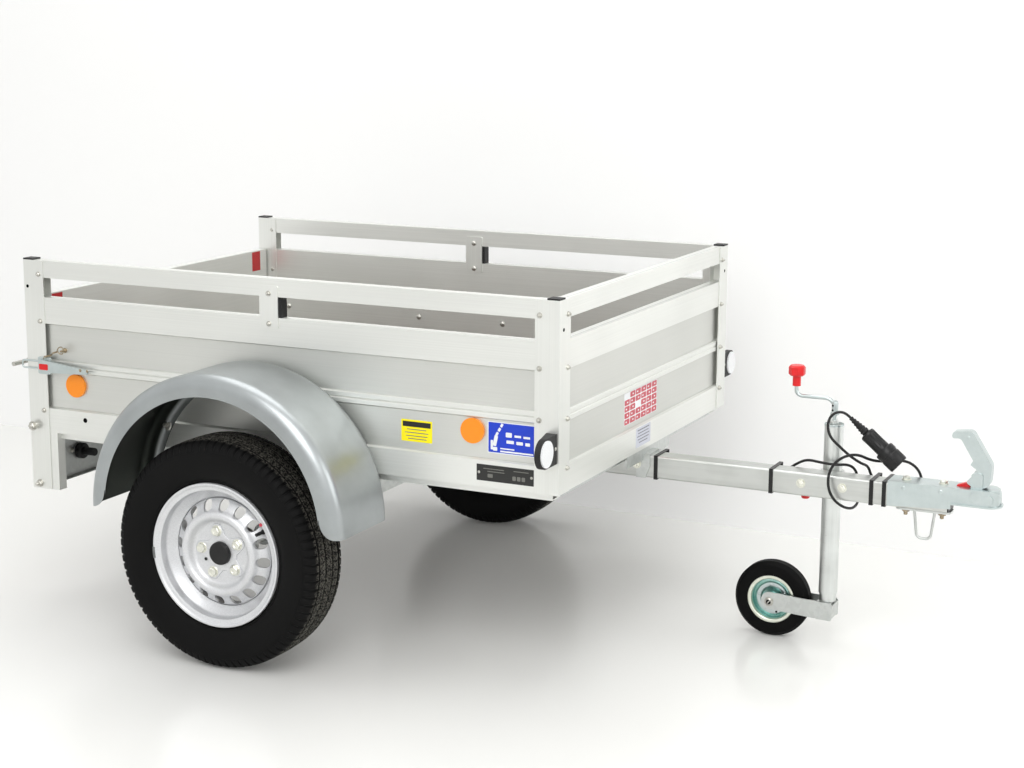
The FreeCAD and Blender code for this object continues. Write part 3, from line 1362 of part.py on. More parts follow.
def check_and_write():
    doc.recompute()
    bad = [item.Name for item in doc.Objects if "Invalid" in item.State or "Error" in item.State]
    for item in nodes:
        shape = item.Shape
        if shape.isNull() or not shape.isValid() or not shape.Solids:
            bad.append(item.Label)
    if bad:
        raise SystemExit("failed: " + ", ".join(bad))
    os.makedirs("parts", exist_ok=True)
    for item in nodes:
        item.Shape.exportStep(os.path.join("parts", item.Label + ".step"))
        box_now = item.Shape.optimalBoundingBox()
        print("%-22s solids %d volume %10.0f  x %7.1f %7.1f  y %7.1f %7.1f  z %6.1f %6.1f" % (
            item.Label, len(item.Shape.Solids), item.Shape.Volume, box_now.XMin, box_now.XMax,
            box_now.YMin, box_now.YMax, box_now.ZMin, box_now.ZMax))
    print("%d nodes" % len(nodes))


build()
check_and_write()
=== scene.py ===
import bmesh
import bpy
from math import cos, degrees, pi, radians, sin
from mathutils import Matrix, Vector


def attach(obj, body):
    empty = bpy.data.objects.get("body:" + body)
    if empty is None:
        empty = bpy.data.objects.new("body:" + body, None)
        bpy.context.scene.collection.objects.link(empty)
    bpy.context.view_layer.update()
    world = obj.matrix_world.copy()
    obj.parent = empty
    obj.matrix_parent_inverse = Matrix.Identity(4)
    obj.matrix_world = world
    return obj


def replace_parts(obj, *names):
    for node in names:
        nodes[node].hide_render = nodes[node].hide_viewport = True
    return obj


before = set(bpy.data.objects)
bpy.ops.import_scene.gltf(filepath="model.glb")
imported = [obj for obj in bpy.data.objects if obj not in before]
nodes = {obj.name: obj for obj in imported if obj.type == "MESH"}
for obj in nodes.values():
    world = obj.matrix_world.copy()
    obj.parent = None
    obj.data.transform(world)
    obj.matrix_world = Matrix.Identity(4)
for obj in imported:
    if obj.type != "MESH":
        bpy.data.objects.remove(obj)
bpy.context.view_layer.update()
axleSpot = (-0.478, 0.742, 0.289)  # left wheel's centre, the right one is its mirror image
print("frame loaded")


def addObject(name, data):
    thing = bpy.data.objects.new(name, data)
    bpy.context.collection.objects.link(thing)
    return thing


# camera, matched to the picture by the trailer's corners
view = {
    "place": (2.0980, -4.4894, 1.6153),  # metres
    "yaw": 25.685, "pitch": 11.401, "roll": 0.266,  # degrees
    "lens": 66.31, "sensor": 36, "far": 60,  # the lens and sensor in mm, the far end of the view in metres
}


def placeCamera():
    yaw, pitch, roll = (radians(view[key]) for key in ("yaw", "pitch", "roll"))
    ahead = Vector((-sin(yaw) * cos(pitch), cos(yaw) * cos(pitch), -sin(pitch)))
    level = Vector((cos(yaw), sin(yaw), 0))
    rise = level.cross(ahead)
    right = level * cos(roll) + rise * sin(roll)
    up = rise * cos(roll) - level * sin(roll)
    lens = bpy.data.cameras.new("camera")
    lens.lens, lens.sensor_width, lens.clip_end = view["lens"], view["sensor"], view["far"]
    camera = addObject("camera", lens)
    turn = Matrix((right, up, -ahead)).transposed().to_4x4()
    camera.matrix_world = Matrix.Translation(view["place"]) @ turn
    bpy.context.scene.camera = camera


placeCamera()
bpy.context.scene.view_settings.view_transform = "Standard"


# materials

def fromHex(code, share=1.0):
    # sRGB hex to linear colour, darkened or lightened by a share
    parts = [int(code[i:i + 2], 16) / 255 for i in (0, 2, 4)]
    return [share * (c / 12.92 if c <= 0.04045 else ((c + 0.055) / 1.055) ** 2.4) for c in parts] + [1]


def linkUp(tree, node, links):
    # links are input: (node, output)
    for key, (source, output) in links.items():
        tree.links.new(source.outputs[output], node.inputs[key])


def addNode(tree, kind, settings={}, links={}):
    # settings are node properties, input values or a ramp's stops, which are (place, linear colour)
    node = tree.nodes.new("ShaderNode" + kind)
    for key, given in settings.items():
        if key == "stops":
            for element, (place, colour) in zip(node.color_ramp.elements, given):
                element.position, element.color = place, colour
        elif isinstance(key, int) or key in node.inputs:
            node.inputs[key].default_value = given
        else:
            setattr(node, key, given)
    linkUp(tree, node, links)
    return node


def startMaterial(name, settings):
    # a material with its tree, its shader and its coordinates, which are metres
    material = bpy.data.materials.new(name)
    material.use_nodes = True
    tree = material.node_tree
    shader = tree.nodes["Principled BSDF"]
    for key, given in settings.items():
        shader.inputs[key].default_value = given
    return material, tree, shader, addNode(tree, "TexCoord")


def drawnStreaks(tree, place, grain, across, along, detail):
    # streaks drawn out along one axis, as a die or a roll leaves them
    stretch = [1 / across] * 3
    stretch[grain] = 1 / along
    drawn = addNode(tree, "Mapping", {"Scale": stretch}, {"Vector": (place, "Object")})
    return addNode(tree, "TexNoise", {"Scale": 1.0, "Detail": detail}, {"Vector": (drawn, "Vector")})


def awayFromAxle(tree, place, axle):
    # the way from the axle, square to it
    away = addNode(tree, "VectorMath", {"operation": "SUBTRACT", 1: (axle[0], 0, axle[2])}, {0: (place, "Object")})
    return addNode(tree, "VectorMath", {"operation": "MULTIPLY", 1: (1, 0, 1)}, {0: (away, "Vector")})


def extrudedAluminium(name, grain, recess=None):
    # anodised aluminium extrusion: fine die lines along the length and a soft satin gloss, and painted shade on the
    # floor of a recess when one is given
    film = {
        "pale": "EDEEEA", "deep": "E4E5E1", "recessShade": "96968F",
        "lineGap": 0.003, "lineLength": 0.6,  # die lines drawn about ten times as coarse, to show
        "cloud": 0.35, "roughness": (0.36, 0.46), "recessHalf": 0.003,
    }
    material, tree, shader, place = startMaterial(name, {"Metallic": 0.85, "Specular IOR Level": 0.5})
    lines = drawnStreaks(tree, place, grain, film["lineGap"], film["lineLength"], 2.0)
    clouds = addNode(tree, "TexNoise", {"Scale": 1 / film["cloud"], "Detail": 1.0}, {"Vector": (place, "Object")})
    tone = addNode(tree, "Math", {"operation": "MULTIPLY_ADD", 1: 0.5}, {0: (lines, "Fac"), 2: (clouds, "Fac")})
    ramp = addNode(tree, "ValToRGB", {"stops": [(0.55, fromHex(film["deep"])), (0.95, fromHex(film["pale"]))]},
                   {"Fac": (tone, "Value")})
    colour = (ramp, "Color")
    if recess:  # painted shade: the floor of each recess is painted darker than the bands
        axis, depth, share = recess
        apart = addNode(tree, "SeparateXYZ", {}, {"Vector": (place, "Object")})
        size = addNode(tree, "Math", {"operation": "ABSOLUTE"}, {0: (apart, axis)})
        near = addNode(tree, "Math", {"operation": "COMPARE", 1: depth, 2: film["recessHalf"]}, {0: (size, "Value")})
        recessShade = addNode(tree, "Math", {"operation": "MULTIPLY", 1: share}, {0: (near, "Value")})
        mixed = addNode(tree, "Mix", {"data_type": "RGBA", 7: fromHex(film["recessShade"])}, {0: (recessShade, "Value"), 6: colour})
        colour = (mixed, 2)
    rough = addNode(tree, "MapRange", {"To Min": film["roughness"][0], "To Max": film["roughness"][1]},
                    {"Value": (lines, "Fac")})
    bump = addNode(tree, "Bump", {"Strength": 0.06, "Distance": 0.0002}, {"Height": (lines, "Fac")})
    linkUp(tree, shader, {"Base Color": colour, "Roughness": (rough, "Result"), "Normal": (bump, "Normal")})
    return material


def galvanisedSteel(name, pale, deep, cell, roughness):
    # hot-dip galvanised steel: frosty zinc crystals a few millimetres wide over a soft, cloudy metal gloss
    material, tree, shader, place = startMaterial(name, {"Metallic": 0.95})
    wobble = addNode(tree, "TexNoise", {"Scale": 2 / cell, "Detail": 2.0}, {"Vector": (place, "Object")})
    bent = addNode(tree, "VectorMath", {"operation": "MULTIPLY_ADD", 1: (cell, cell, cell)},
                   {0: (wobble, "Color"), 2: (place, "Object")})
    crystals = addNode(tree, "TexVoronoi", {"Scale": 1 / cell}, {"Vector": (bent, "Vector")})
    clouds = addNode(tree, "TexNoise", {"Scale": 1 / (cell * 14), "Detail": 3.0}, {"Vector": (place, "Object")})
    grey = addNode(tree, "SeparateColor", {}, {"Color": (crystals, "Color")})
    tone = addNode(tree, "Math", {"operation": "MULTIPLY_ADD", 1: 0.45}, {0: (grey, "Red"), 2: (clouds, "Fac")})
    ramp = addNode(tree, "ValToRGB", {"stops": [(0.4, fromHex(deep)), (1.0, fromHex(pale))]}, {"Fac": (tone, "Value")})
    rough = addNode(tree, "MapRange", {"To Min": roughness[0], "To Max": roughness[1]}, {"Value": (grey, "Green")})
    bump = addNode(tree, "Bump", {"Strength": 0.06, "Distance": 0.0004}, {"Height": (clouds, "Fac")})
    linkUp(tree, shader, {"Base Color": (ramp, "Color"), "Roughness": (rough, "Result"), "Normal": (bump, "Normal")})
    return material


def pressedGuard(name, axle):
    # pressed galvanised sheet: satin zinc with broad clouds, the hollow towards the wheel painted dark, painted shade
    sheet = {"pale": "AFB4B5", "deep": "A2A6A7", "inside": "3C403C", "cloud": 0.10, "grain": 0.004,
             "roughness": (0.30, 0.42), "hollow": (-0.2, -0.55)}
    material, tree, shader, place = startMaterial(name, {"Metallic": 0.95})
    clouds = addNode(tree, "TexNoise", {"Scale": 1 / sheet["cloud"], "Detail": 4.0}, {"Vector": (place, "Object")})
    ramp = addNode(tree, "ValToRGB", {"stops": [(0.3, fromHex(sheet["deep"])), (0.7, fromHex(sheet["pale"]))]},
                   {"Fac": (clouds, "Fac")})
    # painted shade: faces that turn towards the axle take the dark hollow colour
    out = addNode(tree, "VectorMath", {"operation": "NORMALIZE"}, {0: (awayFromAxle(tree, place, axle), "Vector")})
    facingOut = addNode(tree, "VectorMath", {"operation": "DOT_PRODUCT"},
                        {0: (out, "Vector"), 1: (addNode(tree, "NewGeometry"), "Normal")})
    inside = addNode(tree, "MapRange", {"From Min": sheet["hollow"][0], "From Max": sheet["hollow"][1]},
                     {"Value": (facingOut, "Value")})
    mixed = addNode(tree, "Mix", {"data_type": "RGBA", 7: fromHex(sheet["inside"])},
                    {0: (inside, "Result"), 6: (ramp, "Color")})
    grit = addNode(tree, "TexNoise", {"Scale": 1 / sheet["grain"], "Detail": 2.0}, {"Vector": (place, "Object")})
    rough = addNode(tree, "MapRange", {"To Min": sheet["roughness"][0], "To Max": sheet["roughness"][1]},
                    {"Value": (grit, "Fac")})
    linkUp(tree, shader, {"Base Color": (mixed, 2), "Roughness": (rough, "Result")})
    return material


def stripGalvanised(name, grain, pale, deep, roughness):
    # pre-galvanised drawn tube: pale even zinc with faint rolling streaks along its length
    strip = {"streak": 0.009, "length": 0.30, "cloud": 0.09}
    material, tree, shader, place = startMaterial(name, {"Metallic": 0.95})
    streaks = drawnStreaks(tree, place, grain, strip["streak"], strip["length"], 3.0)
    clouds = addNode(tree, "TexNoise", {"Scale": 1 / strip["cloud"], "Detail": 3.0}, {"Vector": (place, "Object")})
    tone = addNode(tree, "Math", {"operation": "MULTIPLY_ADD", 1: 0.8}, {0: (streaks, "Fac"), 2: (clouds, "Fac")})
    ramp = addNode(tree, "ValToRGB", {"stops": [(0.6, fromHex(deep)), (1.0, fromHex(pale))]}, {"Fac": (tone, "Value")})
    rough = addNode(tree, "MapRange", {"To Min": roughness[0], "To Max": roughness[1]}, {"Value": (streaks, "Fac")})
    bump = addNode(tree, "Bump", {"Strength": 0.05, "Distance": 0.0004}, {"Height": (streaks, "Fac")})
    linkUp(tree, shader, {"Base Color": (ramp, "Color"), "Roughness": (rough, "Result"), "Normal": (bump, "Normal")})
    return material


def platedSteel(name, pale, deep, blotch, roughness):
    # passivated zinc plating: bright pressed steel with a faint greenish or bluish cloud of colour
    grain = 0.003
    material, tree, shader, place = startMaterial(name, {"Metallic": 1.0})
    clouds = addNode(tree, "TexNoise", {"Scale": 1 / blotch, "Detail": 4.0, "Roughness": 0.6},
                     {"Vector": (place, "Object")})
    ramp = addNode(tree, "ValToRGB", {"stops": [(0.3, fromHex(deep)), (0.7, fromHex(pale))]}, {"Fac": (clouds, "Fac")})
    grit = addNode(tree, "TexNoise", {"Scale": 1 / grain, "Detail": 2.0}, {"Vector": (place, "Object")})
    rough = addNode(tree, "MapRange", {"To Min": roughness[0], "To Max": roughness[1]}, {"Value": (grit, "Fac")})
    bump = addNode(tree, "Bump", {"Strength": 0.1, "Distance": 0.0003}, {"Height": (grit, "Fac")})
    linkUp(tree, shader, {"Base Color": (ramp, "Color"), "Roughness": (rough, "Result"), "Normal": (bump, "Normal")})
    return material


def silverLacquer(name):
    # wheel lacquer: fine aluminium flake under a thin clear coat, slightly orange-peeled
    paint = {"pale": "E1E2E4", "deep": "D4D5D7", "flake": 0.0015, "peel": 0.012}
    material, tree, shader, place = startMaterial(name, {
        "Metallic": 0.7, "Roughness": 0.46, "Coat Weight": 0.12, "Coat Roughness": 0.25})
    flakes = addNode(tree, "TexVoronoi", {"Scale": 1 / paint["flake"]}, {"Vector": (place, "Object")})
    grey = addNode(tree, "SeparateColor", {}, {"Color": (flakes, "Color")})
    ramp = addNode(tree, "ValToRGB", {"stops": [(0.0, fromHex(paint["deep"])), (1.0, fromHex(paint["pale"]))]},
                   {"Fac": (grey, "Red")})
    peel = addNode(tree, "TexNoise", {"Scale": 1 / paint["peel"], "Detail": 2.0}, {"Vector": (place, "Object")})
    bump = addNode(tree, "Bump", {"Strength": 0.08, "Distance": 0.0005}, {"Height": (peel, "Fac")})
    linkUp(tree, shader, {"Base Color": (ramp, "Color"), "Normal": (bump, "Normal")})
    return material


def mouldTexture(tree, shader, place, grit, roughness):
    # eroded mould texture that breaks the gloss
    texture = addNode(tree, "TexNoise", {"Scale": 1 / grit, "Detail": 2.0}, {"Vector": (place, "Object")})
    rough = addNode(tree, "MapRange", {"To Min": roughness[0], "To Max": roughness[1]}, {"Value": (texture, "Fac")})
    bump = addNode(tree, "Bump", {"Strength": 0.3, "Distance": 0.0004}, {"Height": (texture, "Fac")})
    linkUp(tree, shader, {"Roughness": (rough, "Result"), "Normal": (bump, "Normal")})


def mouldedBlack(name, tint, grit, roughness, gloss=0.5, ior=1.5):
    # moulded plastic or rubber: near black, clouded where the mould's texture changes
    material, tree, shader, place = startMaterial(name, {"IOR": ior, "Specular IOR Level": gloss})
    spread = addNode(tree, "TexNoise", {"Scale": 1 / (grit * 30), "Detail": 3.0}, {"Vector": (place, "Object")})
    ramp = addNode(tree, "ValToRGB", {"stops": [(0.3, fromHex(tint, 0.7)), (0.7, fromHex(tint, 1.3))]},
                   {"Fac": (spread, "Fac")})
    linkUp(tree, shader, {"Base Color": (ramp, "Color")})
    mouldTexture(tree, shader, place, grit, roughness)
    return material


def treadRubber(name, axle):
    # road tyre rubber: matt black walls, the running face greyed by dry dust that sits in fine specks
    dust = {"rubber": "0B0B0B", "grey": "605E57", "tread": (0.2856, 0.2876), "speck": 0.004, "share": (0.42, 0.62),
            "grit": 0.0018, "roughness": (0.55, 0.75)}
    material, tree, shader, place = startMaterial(name, {"IOR": 1.52, "Specular IOR Level": 0.12})
    radius = addNode(tree, "VectorMath", {"operation": "LENGTH"}, {0: (awayFromAxle(tree, place, axle), "Vector")})
    worn = addNode(tree, "MapRange", {"From Min": dust["tread"][0], "From Max": dust["tread"][1]},
                   {"Value": (radius, "Value")})
    specks = addNode(tree, "TexNoise", {"Scale": 1 / dust["speck"], "Detail": 3.0}, {"Vector": (place, "Object")})
    sparse = addNode(tree, "MapRange", {"From Min": dust["share"][0], "From Max": dust["share"][1]},
                     {"Value": (specks, "Fac")})
    share = addNode(tree, "Math", {"operation": "MULTIPLY"}, {0: (worn, "Result"), 1: (sparse, "Result")})
    mixed = addNode(tree, "Mix", {"data_type": "RGBA", 6: fromHex(dust["rubber"]), 7: fromHex(dust["grey"])},
                    {0: (share, "Value")})
    linkUp(tree, shader, {"Base Color": (mixed, 2)})
    mouldTexture(tree, shader, place, dust["grit"], dust["roughness"])
    return material


def colouredPlastic(name, code, roughness=0.32):
    # moulded polyamide: strong even colour, slight cloudiness and a soft gloss
    material, tree, shader, place = startMaterial(name, {"IOR": 1.53, "Roughness": roughness})
    clouds = addNode(tree, "TexNoise", {"Scale": 1 / 0.02, "Detail": 3.0}, {"Vector": (place, "Object")})
    ramp = addNode(tree, "ValToRGB", {"stops": [(0.3, fromHex(code, 0.88)), (0.7, fromHex(code))]},
                   {"Fac": (clouds, "Fac")})
    linkUp(tree, shader, {"Base Color": (ramp, "Color")})
    return material


def reflexAcrylic(name, pale, deep, prism=0.0035):
    # reflex acrylic: clear moulded lens over rows of small prisms, so it has depth and tiny glints
    material, tree, shader, place = startMaterial(name, {
        "IOR": 1.49, "Roughness": 0.3, "Coat Weight": 0.2, "Coat Roughness": 0.1})
    prisms = addNode(tree, "TexVoronoi", {"Scale": 1 / prism, "Randomness": 0.15}, {"Vector": (place, "Object")})
    ramp = addNode(tree, "ValToRGB", {"stops": [(0.1, fromHex(pale)), (0.75, fromHex(deep))]},
                   {"Fac": (prisms, "Distance")})
    bump = addNode(tree, "Bump", {"Strength": 0.25, "Distance": 0.0004}, {"Height": (prisms, "Distance")})
    linkUp(tree, shader, {"Base Color": (ramp, "Color"), "Normal": (bump, "Normal")})
    return material


def printedVinyl(name, code, roughness=0.4):
    # printed vinyl film: flat ink under a thin clear film that barely ripples over the metal
    material, tree, shader, place = startMaterial(name, {"IOR": 1.46, "Roughness": roughness, "Coat Weight": 0.2})
    ripple = addNode(tree, "TexNoise", {"Scale": 1 / 0.03, "Detail": 2.0}, {"Vector": (place, "Object")})
    ramp = addNode(tree, "ValToRGB", {"stops": [(0.2, fromHex(code, 0.92)), (0.8, fromHex(code))]},
                   {"Fac": (ripple, "Fac")})
    bump = addNode(tree, "Bump", {"Strength": 0.05, "Distance": 0.0004}, {"Height": (ripple, "Fac")})
    linkUp(tree, shader, {"Base Color": (ramp, "Color"), "Normal": (bump, "Normal")})
    return material


def filmFacedPlywood(name):
    # phenolic film-faced plywood: dark brown resin film pressed with a wire-mesh grip
    board = {"film": "4A3124", "deep": "3B261B", "figure": 1 / 9, "mesh": 0.004}
    material, tree, shader, place = startMaterial(name, {"IOR": 1.55, "Roughness": 0.45})
    ply = addNode(tree, "TexNoise", {"Scale": 1 / board["figure"], "Detail": 4.0}, {"Vector": (place, "Object")})
    ramp = addNode(tree, "ValToRGB", {"stops": [(0.3, fromHex(board["deep"])), (0.7, fromHex(board["film"]))]},
                   {"Fac": (ply, "Fac")})
    mesh = addNode(tree, "TexVoronoi", {"Scale": 1 / board["mesh"], "Randomness": 0.0}, {"Vector": (place, "Object")})
    bump = addNode(tree, "Bump", {"Strength": 0.4, "Distance": 0.0005}, {"Height": (mesh, "Distance")})
    linkUp(tree, shader, {"Base Color": (ramp, "Color"), "Normal": (bump, "Normal")})
    return material


finish = {
    # the boards' recess tuples (axis, depth, share) set how much painted shade their recess floors get
    "sideways": extrudedAluminium("anodised aluminium, lengthwise", 0, ("Y", 0.5685, 0.28)),
    "crossways": extrudedAluminium("anodised aluminium, crosswise", 1, ("X", 0.3275, 0.30)),
    "upright": extrudedAluminium("anodised aluminium, upright", 2),
    "guard": pressedGuard("pressed galvanised sheet", axleSpot),
    "chassis": galvanisedSteel("galvanised section steel", "CFD2D0", "C4C7C5", 0.010, (0.32, 0.46)),
    "bar": stripGalvanised("pre-galvanised drawn bar", 0, "CED0CD", "C0C2BF", (0.30, 0.42)),
    "tube": stripGalvanised("pre-galvanised drawn tube", 2, "E0E3E1", "CDD0CE", (0.30, 0.42)),
    "blueZinc": platedSteel("blue passivated zinc", "C9D2D2", "BFC9C9", 0.03, (0.26, 0.36)),
    "greenZinc": platedSteel("green passivated zinc", "ABCDC8", "80B0A9", 0.02, (0.24, 0.34)),
    "creamZinc": platedSteel("yellow passivated zinc", "EEF0E4", "DEE2D2", 0.02, (0.28, 0.38)),
    "fastener": platedSteel("zinc plated fastener", "D6D5CF", "AFADA6", 0.006, (0.25, 0.4)),
    "brownZinc": platedSteel("weathered yellow zinc", "B9AC94", "85765F", 0.005, (0.3, 0.45)),
    "lacquer": silverLacquer("silver wheel lacquer"),
    "hubMetal": platedSteel("turned hub steel", "A5A6A6", "7F8080", 0.01, (0.3, 0.42)),
    "polypropylene": mouldedBlack("moulded polypropylene", "141415", 0.0015, (0.42, 0.6), 0.4),
    "nylon": mouldedBlack("moulded nylon", "0D0D0E", 0.002, (0.3, 0.45), 0.4),
    "sheath": mouldedBlack("extruded PVC sheath", "0D0D0E", 0.002, (0.34, 0.48), 0.4),
    "tyreRubber": treadRubber("moulded tyre rubber", axleSpot),
    "solidRubber": mouldedBlack("solid wheel rubber", "090909", 0.002, (0.5, 0.65), 0.10, 1.52),
    "redKnob": colouredPlastic("red moulded polyamide", "DC0A12"),
    "amber": reflexAcrylic("amber reflex acrylic", "FF9A00", "F78A00"),
    "redLens": reflexAcrylic("red reflex acrylic", "D8141A", "9C0A10"),
    "whiteLens": reflexAcrylic("clear reflex acrylic", "F4F5F6", "D9DBDD"),
    "plywood": filmFacedPlywood("film-faced plywood"),
    # painted shade: near-black discs stand for the dark inside of holes and sockets
    "hole": mouldedBlack("unlit drilled hole", "070707", 0.002, (0.8, 0.9), 0.1),
    "boltZinc": platedSteel("yellow zinc wheel bolt", "ECECE2", "DADAD0", 0.008, (0.28, 0.4)),
    "lead": platedSteel("cast balance weight", "8A8C8C", "6F7171", 0.005, (0.4, 0.55)),
    "redFilm": printedVinyl("red printed vinyl", "C2394A"),
    "yellowFilm": printedVinyl("yellow printed vinyl", "FFEF00"),
    "blackFilm": printedVinyl("black printed vinyl", "141414"),
    "blueFilm": printedVinyl("blue printed vinyl", "0538C6"),
    "whiteFilm": printedVinyl("white printed vinyl", "EDEFF2"),
    "greyFilm": printedVinyl("grey printed vinyl", "C7CAD6"),
    "platePaint": printedVinyl("black anodised plate", "1C1C1A", 0.35),
    "plateInk": printedVinyl("grey engraving", "6E6E68"),
    "greyInk": printedVinyl("grey ink", "6C6F78"),
}

dress = {
    "sideways": "side_board_right side_board_left side_rails chassis_rails",
    "crossways": "front_board tailgate_board front_rail",
    "upright": "front_posts rear_posts rear_uprights rail_clamps",
    "polypropylene": "post_caps rail_spacers rear_lamps plate_lamp front_marker_holders hub_cap_right hub_cap_left",
    "plywood": "floor_panel",
    "chassis": "cross_members rear_lamp_panel axle_beam axle_saddles swing_arm_right swing_arm_left drawbar_bracket "
               "cable_hanger jockey_clamp jockey_fork",
    "bar": "drawbar",
    "tube": "jockey_tube jockey_leg",
    "guard": "mudguard_right mudguard_left",
    "fastener": "tailgate_pins tailgate_strikes",
    "blueZinc": "tailgate_latches coupling_body coupling_handle jockey_crank",
    "greenZinc": "jockey_rim",
    "lacquer": "rim_right rim_left",
    "hubMetal": "hub_right hub_left",
    "nylon": "cable_gland tow_plug cable_ties",
    "tyreRubber": "tyre_right tyre_left",
    "solidRubber": "jockey_tyre",
    "redKnob": "coupling_indicator clamp_knob jockey_knob",
    "amber": "side_reflectors rear_amber_lenses",
    "redLens": "rear_red_lenses",
    "whiteLens": "front_markers",
}
for key, names in dress.items():
    for name in names.split():
        nodes[name].data.materials.clear()
        nodes[name].data.materials.append(finish[key])
print("materials made")


# mesh helpers

def smoothFaces(data, sharp):
    for face in data.polygons:
        face.use_smooth = True
    data.set_sharp_from_angle(angle=radians(sharp))


def toData(name, mesh):
    data = bpy.data.meshes.new(name)
    mesh.to_mesh(data)
    mesh.free()
    return data


def makePiece(name, mesh, materials, body, sharp=35):
    bmesh.ops.recalc_face_normals(mesh, faces=mesh.faces)
    data = toData(name, mesh)
    for key in materials if isinstance(materials, (list, tuple)) else [materials]:
        data.materials.append(finish[key])
    smoothFaces(data, sharp)
    piece = addObject(name, data)
    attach(piece, body)
    return piece


def facing(place, direction):
    # a frame with its Z axis along the direction
    return Matrix.Translation(place) @ Vector(direction).to_track_quat("Z", "Y").to_matrix().to_4x4()


def bridge(mesh, rings, material=0, closed=False):
    # skin rows of rings, each closed round itself
    for low, high in list(zip(rings, rings[1:])) + ([(rings[-1], rings[0])] if closed else []):
        for i in range(len(low)):
            j = (i + 1) % len(low)
            mesh.faces.new((low[i], low[j], high[j], high[i])).material_index = material


def lathe(mesh, spot, profile, steps, material=0, start=0.0):
    # turn (radius, height) marks about the spot's Z axis; nought closes the end
    rings = []
    for radius, height in profile:
        if radius == 0:
            rings.append([mesh.verts.new(spot @ Vector((0, 0, height)))])
        else:
            rings.append([mesh.verts.new(spot @ Vector((radius * cos(a), radius * sin(a), height)))
                          for a in (start + 2 * pi * i / steps for i in range(steps))])
    for low, high in zip(rings, rings[1:]):
        for i in range(steps):
            j = (i + 1) % steps
            corners = [low[i % len(low)], low[j % len(low)], high[j % len(high)], high[i % len(high)]]
            corners = [v for k, v in enumerate(corners) if v not in corners[:k]]
            mesh.faces.new(corners).material_index = material


def addDome(mesh, place, direction, radius, height, material=0):
    # coach bolt or rivet head
    profile = [(radius, 0), (radius, height * 0.15)]
    profile += [(radius * cos(radians(a)), height * (0.15 + 0.85 * sin(radians(a)))) for a in (25, 50, 70)]
    lathe(mesh, facing(place, direction), profile + [(0, height)], 14, material)


def addDisc(mesh, place, direction, radius, steps=14, material=0, thick=0.0003):
    # thin disc, painted shade for a drilled hole's dark end
    lathe(mesh, facing(place, direction), [(radius, 0), (radius, thick), (0, thick)], steps, material)


def addNut(mesh, place, direction, sizes, material=0):
    # washer, hexagon nut and the chamfered end of its bolt
    washer, plate, face, height, bolt, end = sizes
    spot, top = facing(place, direction), plate + height
    tip = top + end + bolt * 0.3
    lathe(mesh, spot, [(washer, 0), (washer, plate), (0, plate)], 20, material)
    lathe(mesh, spot, [(face, plate), (face, top - face * 0.12), (face * 0.86, top), (0, top)], 6, material)
    lathe(mesh, spot, [(bolt, top), (bolt, top + end), (bolt * 0.7, tip), (0, tip)], 12, material)


def addPlate(mesh, place, across, up, width, height, corner, thick, material=0):
    # thin plate with round corners, its middle at place
    across, up = Vector(across).normalized(), Vector(up).normalized()
    out = across.cross(up)
    rim = []
    for x, y, start in ((1, 1, 0), (-1, 1, 90), (-1, -1, 180), (1, -1, 270)):
        centre = across * x * (width / 2 - corner) + up * y * (height / 2 - corner)
        for k in range(4):
            a = radians(start + 30 * k)
            rim.append(Vector(place) + centre + (across * cos(a) + up * sin(a)) * corner)
    back = [mesh.verts.new(p) for p in rim]
    front = [mesh.verts.new(p + out * thick) for p in rim]
    for ring in (back, front):
        mesh.faces.new(ring).material_index = material
    bridge(mesh, [back, front], material)


def addWire(mesh, points, radius, steps=8, material=0, closed=False):
    # round wire along a row of points
    rings, count, turn = [], len(points), None
    points = [Vector(p) for p in points]
    for i, point in enumerate(points):
        before = points[i - 1] if i or closed else point
        after = points[(i + 1) % count] if i < count - 1 or closed else point
        ahead = (after - before).normalized()
        if turn is None:
            turn = ahead.orthogonal().normalized()
        turn = (turn - ahead * turn.dot(ahead)).normalized()
        other = ahead.cross(turn)
        rings.append([mesh.verts.new(point + (turn * cos(a) + other * sin(a)) * radius)
                      for a in (2 * pi * k / steps for k in range(steps))])
    bridge(mesh, rings, material, closed)
    if not closed:
        mesh.faces.new(rings[0][::-1]).material_index = material
        mesh.faces.new(rings[-1]).material_index = material


# tow lead and its plug

towLead = {
    "diameter": 0.007, "length": 1.542,
    "route": [
        (0.354, 0.042, 0.436), (0.410, 0.042, 0.436), (0.496, 0.039, 0.432), (0.588, 0.038, 0.437),
        (0.658, 0.039, 0.437), (0.702, 0.041, 0.450), (0.728, 0.043, 0.470), (0.758, 0.028, 0.486),
        (0.798, 0.017, 0.484), (0.836, 0.018, 0.482), (0.862, 0.030, 0.484), (0.878, 0.047, 0.470),
        (0.886, 0.050, 0.438), (0.889, 0.050, 0.404), (0.890, 0.036, 0.386), (0.889, 0.008, 0.381),
        (0.884, -0.018, 0.383), (0.870, -0.039, 0.392), (0.850, -0.049, 0.410), (0.835, -0.050, 0.440),
        (0.836, -0.047, 0.482), (0.858, -0.038, 0.514), (0.896, -0.022, 0.527), (0.928, 0.012, 0.504),
        (0.962, 0.040, 0.500), (1.004, 0.050, 0.506), (1.036, 0.050, 0.488), (1.048, 0.050, 0.456),
        (1.038, 0.050, 0.428), (1.008, 0.049, 0.418), (0.968, 0.046, 0.426), (0.936, 0.047, 0.436),
        (0.918, 0.048, 0.457), (0.911, 0.042, 0.483), (0.900, 0.014, 0.494), (0.876, -0.011, 0.517),
        (0.851, -0.024, 0.543), (0.830, -0.026, 0.562), (0.821, -0.022, 0.586), (0.8225, -0.016, 0.606),
        (0.831, -0.009, 0.619), (0.845, -0.003, 0.624), (0.8606, 0, 0.6209), (0.873, 0, 0.6105),
    ],
}
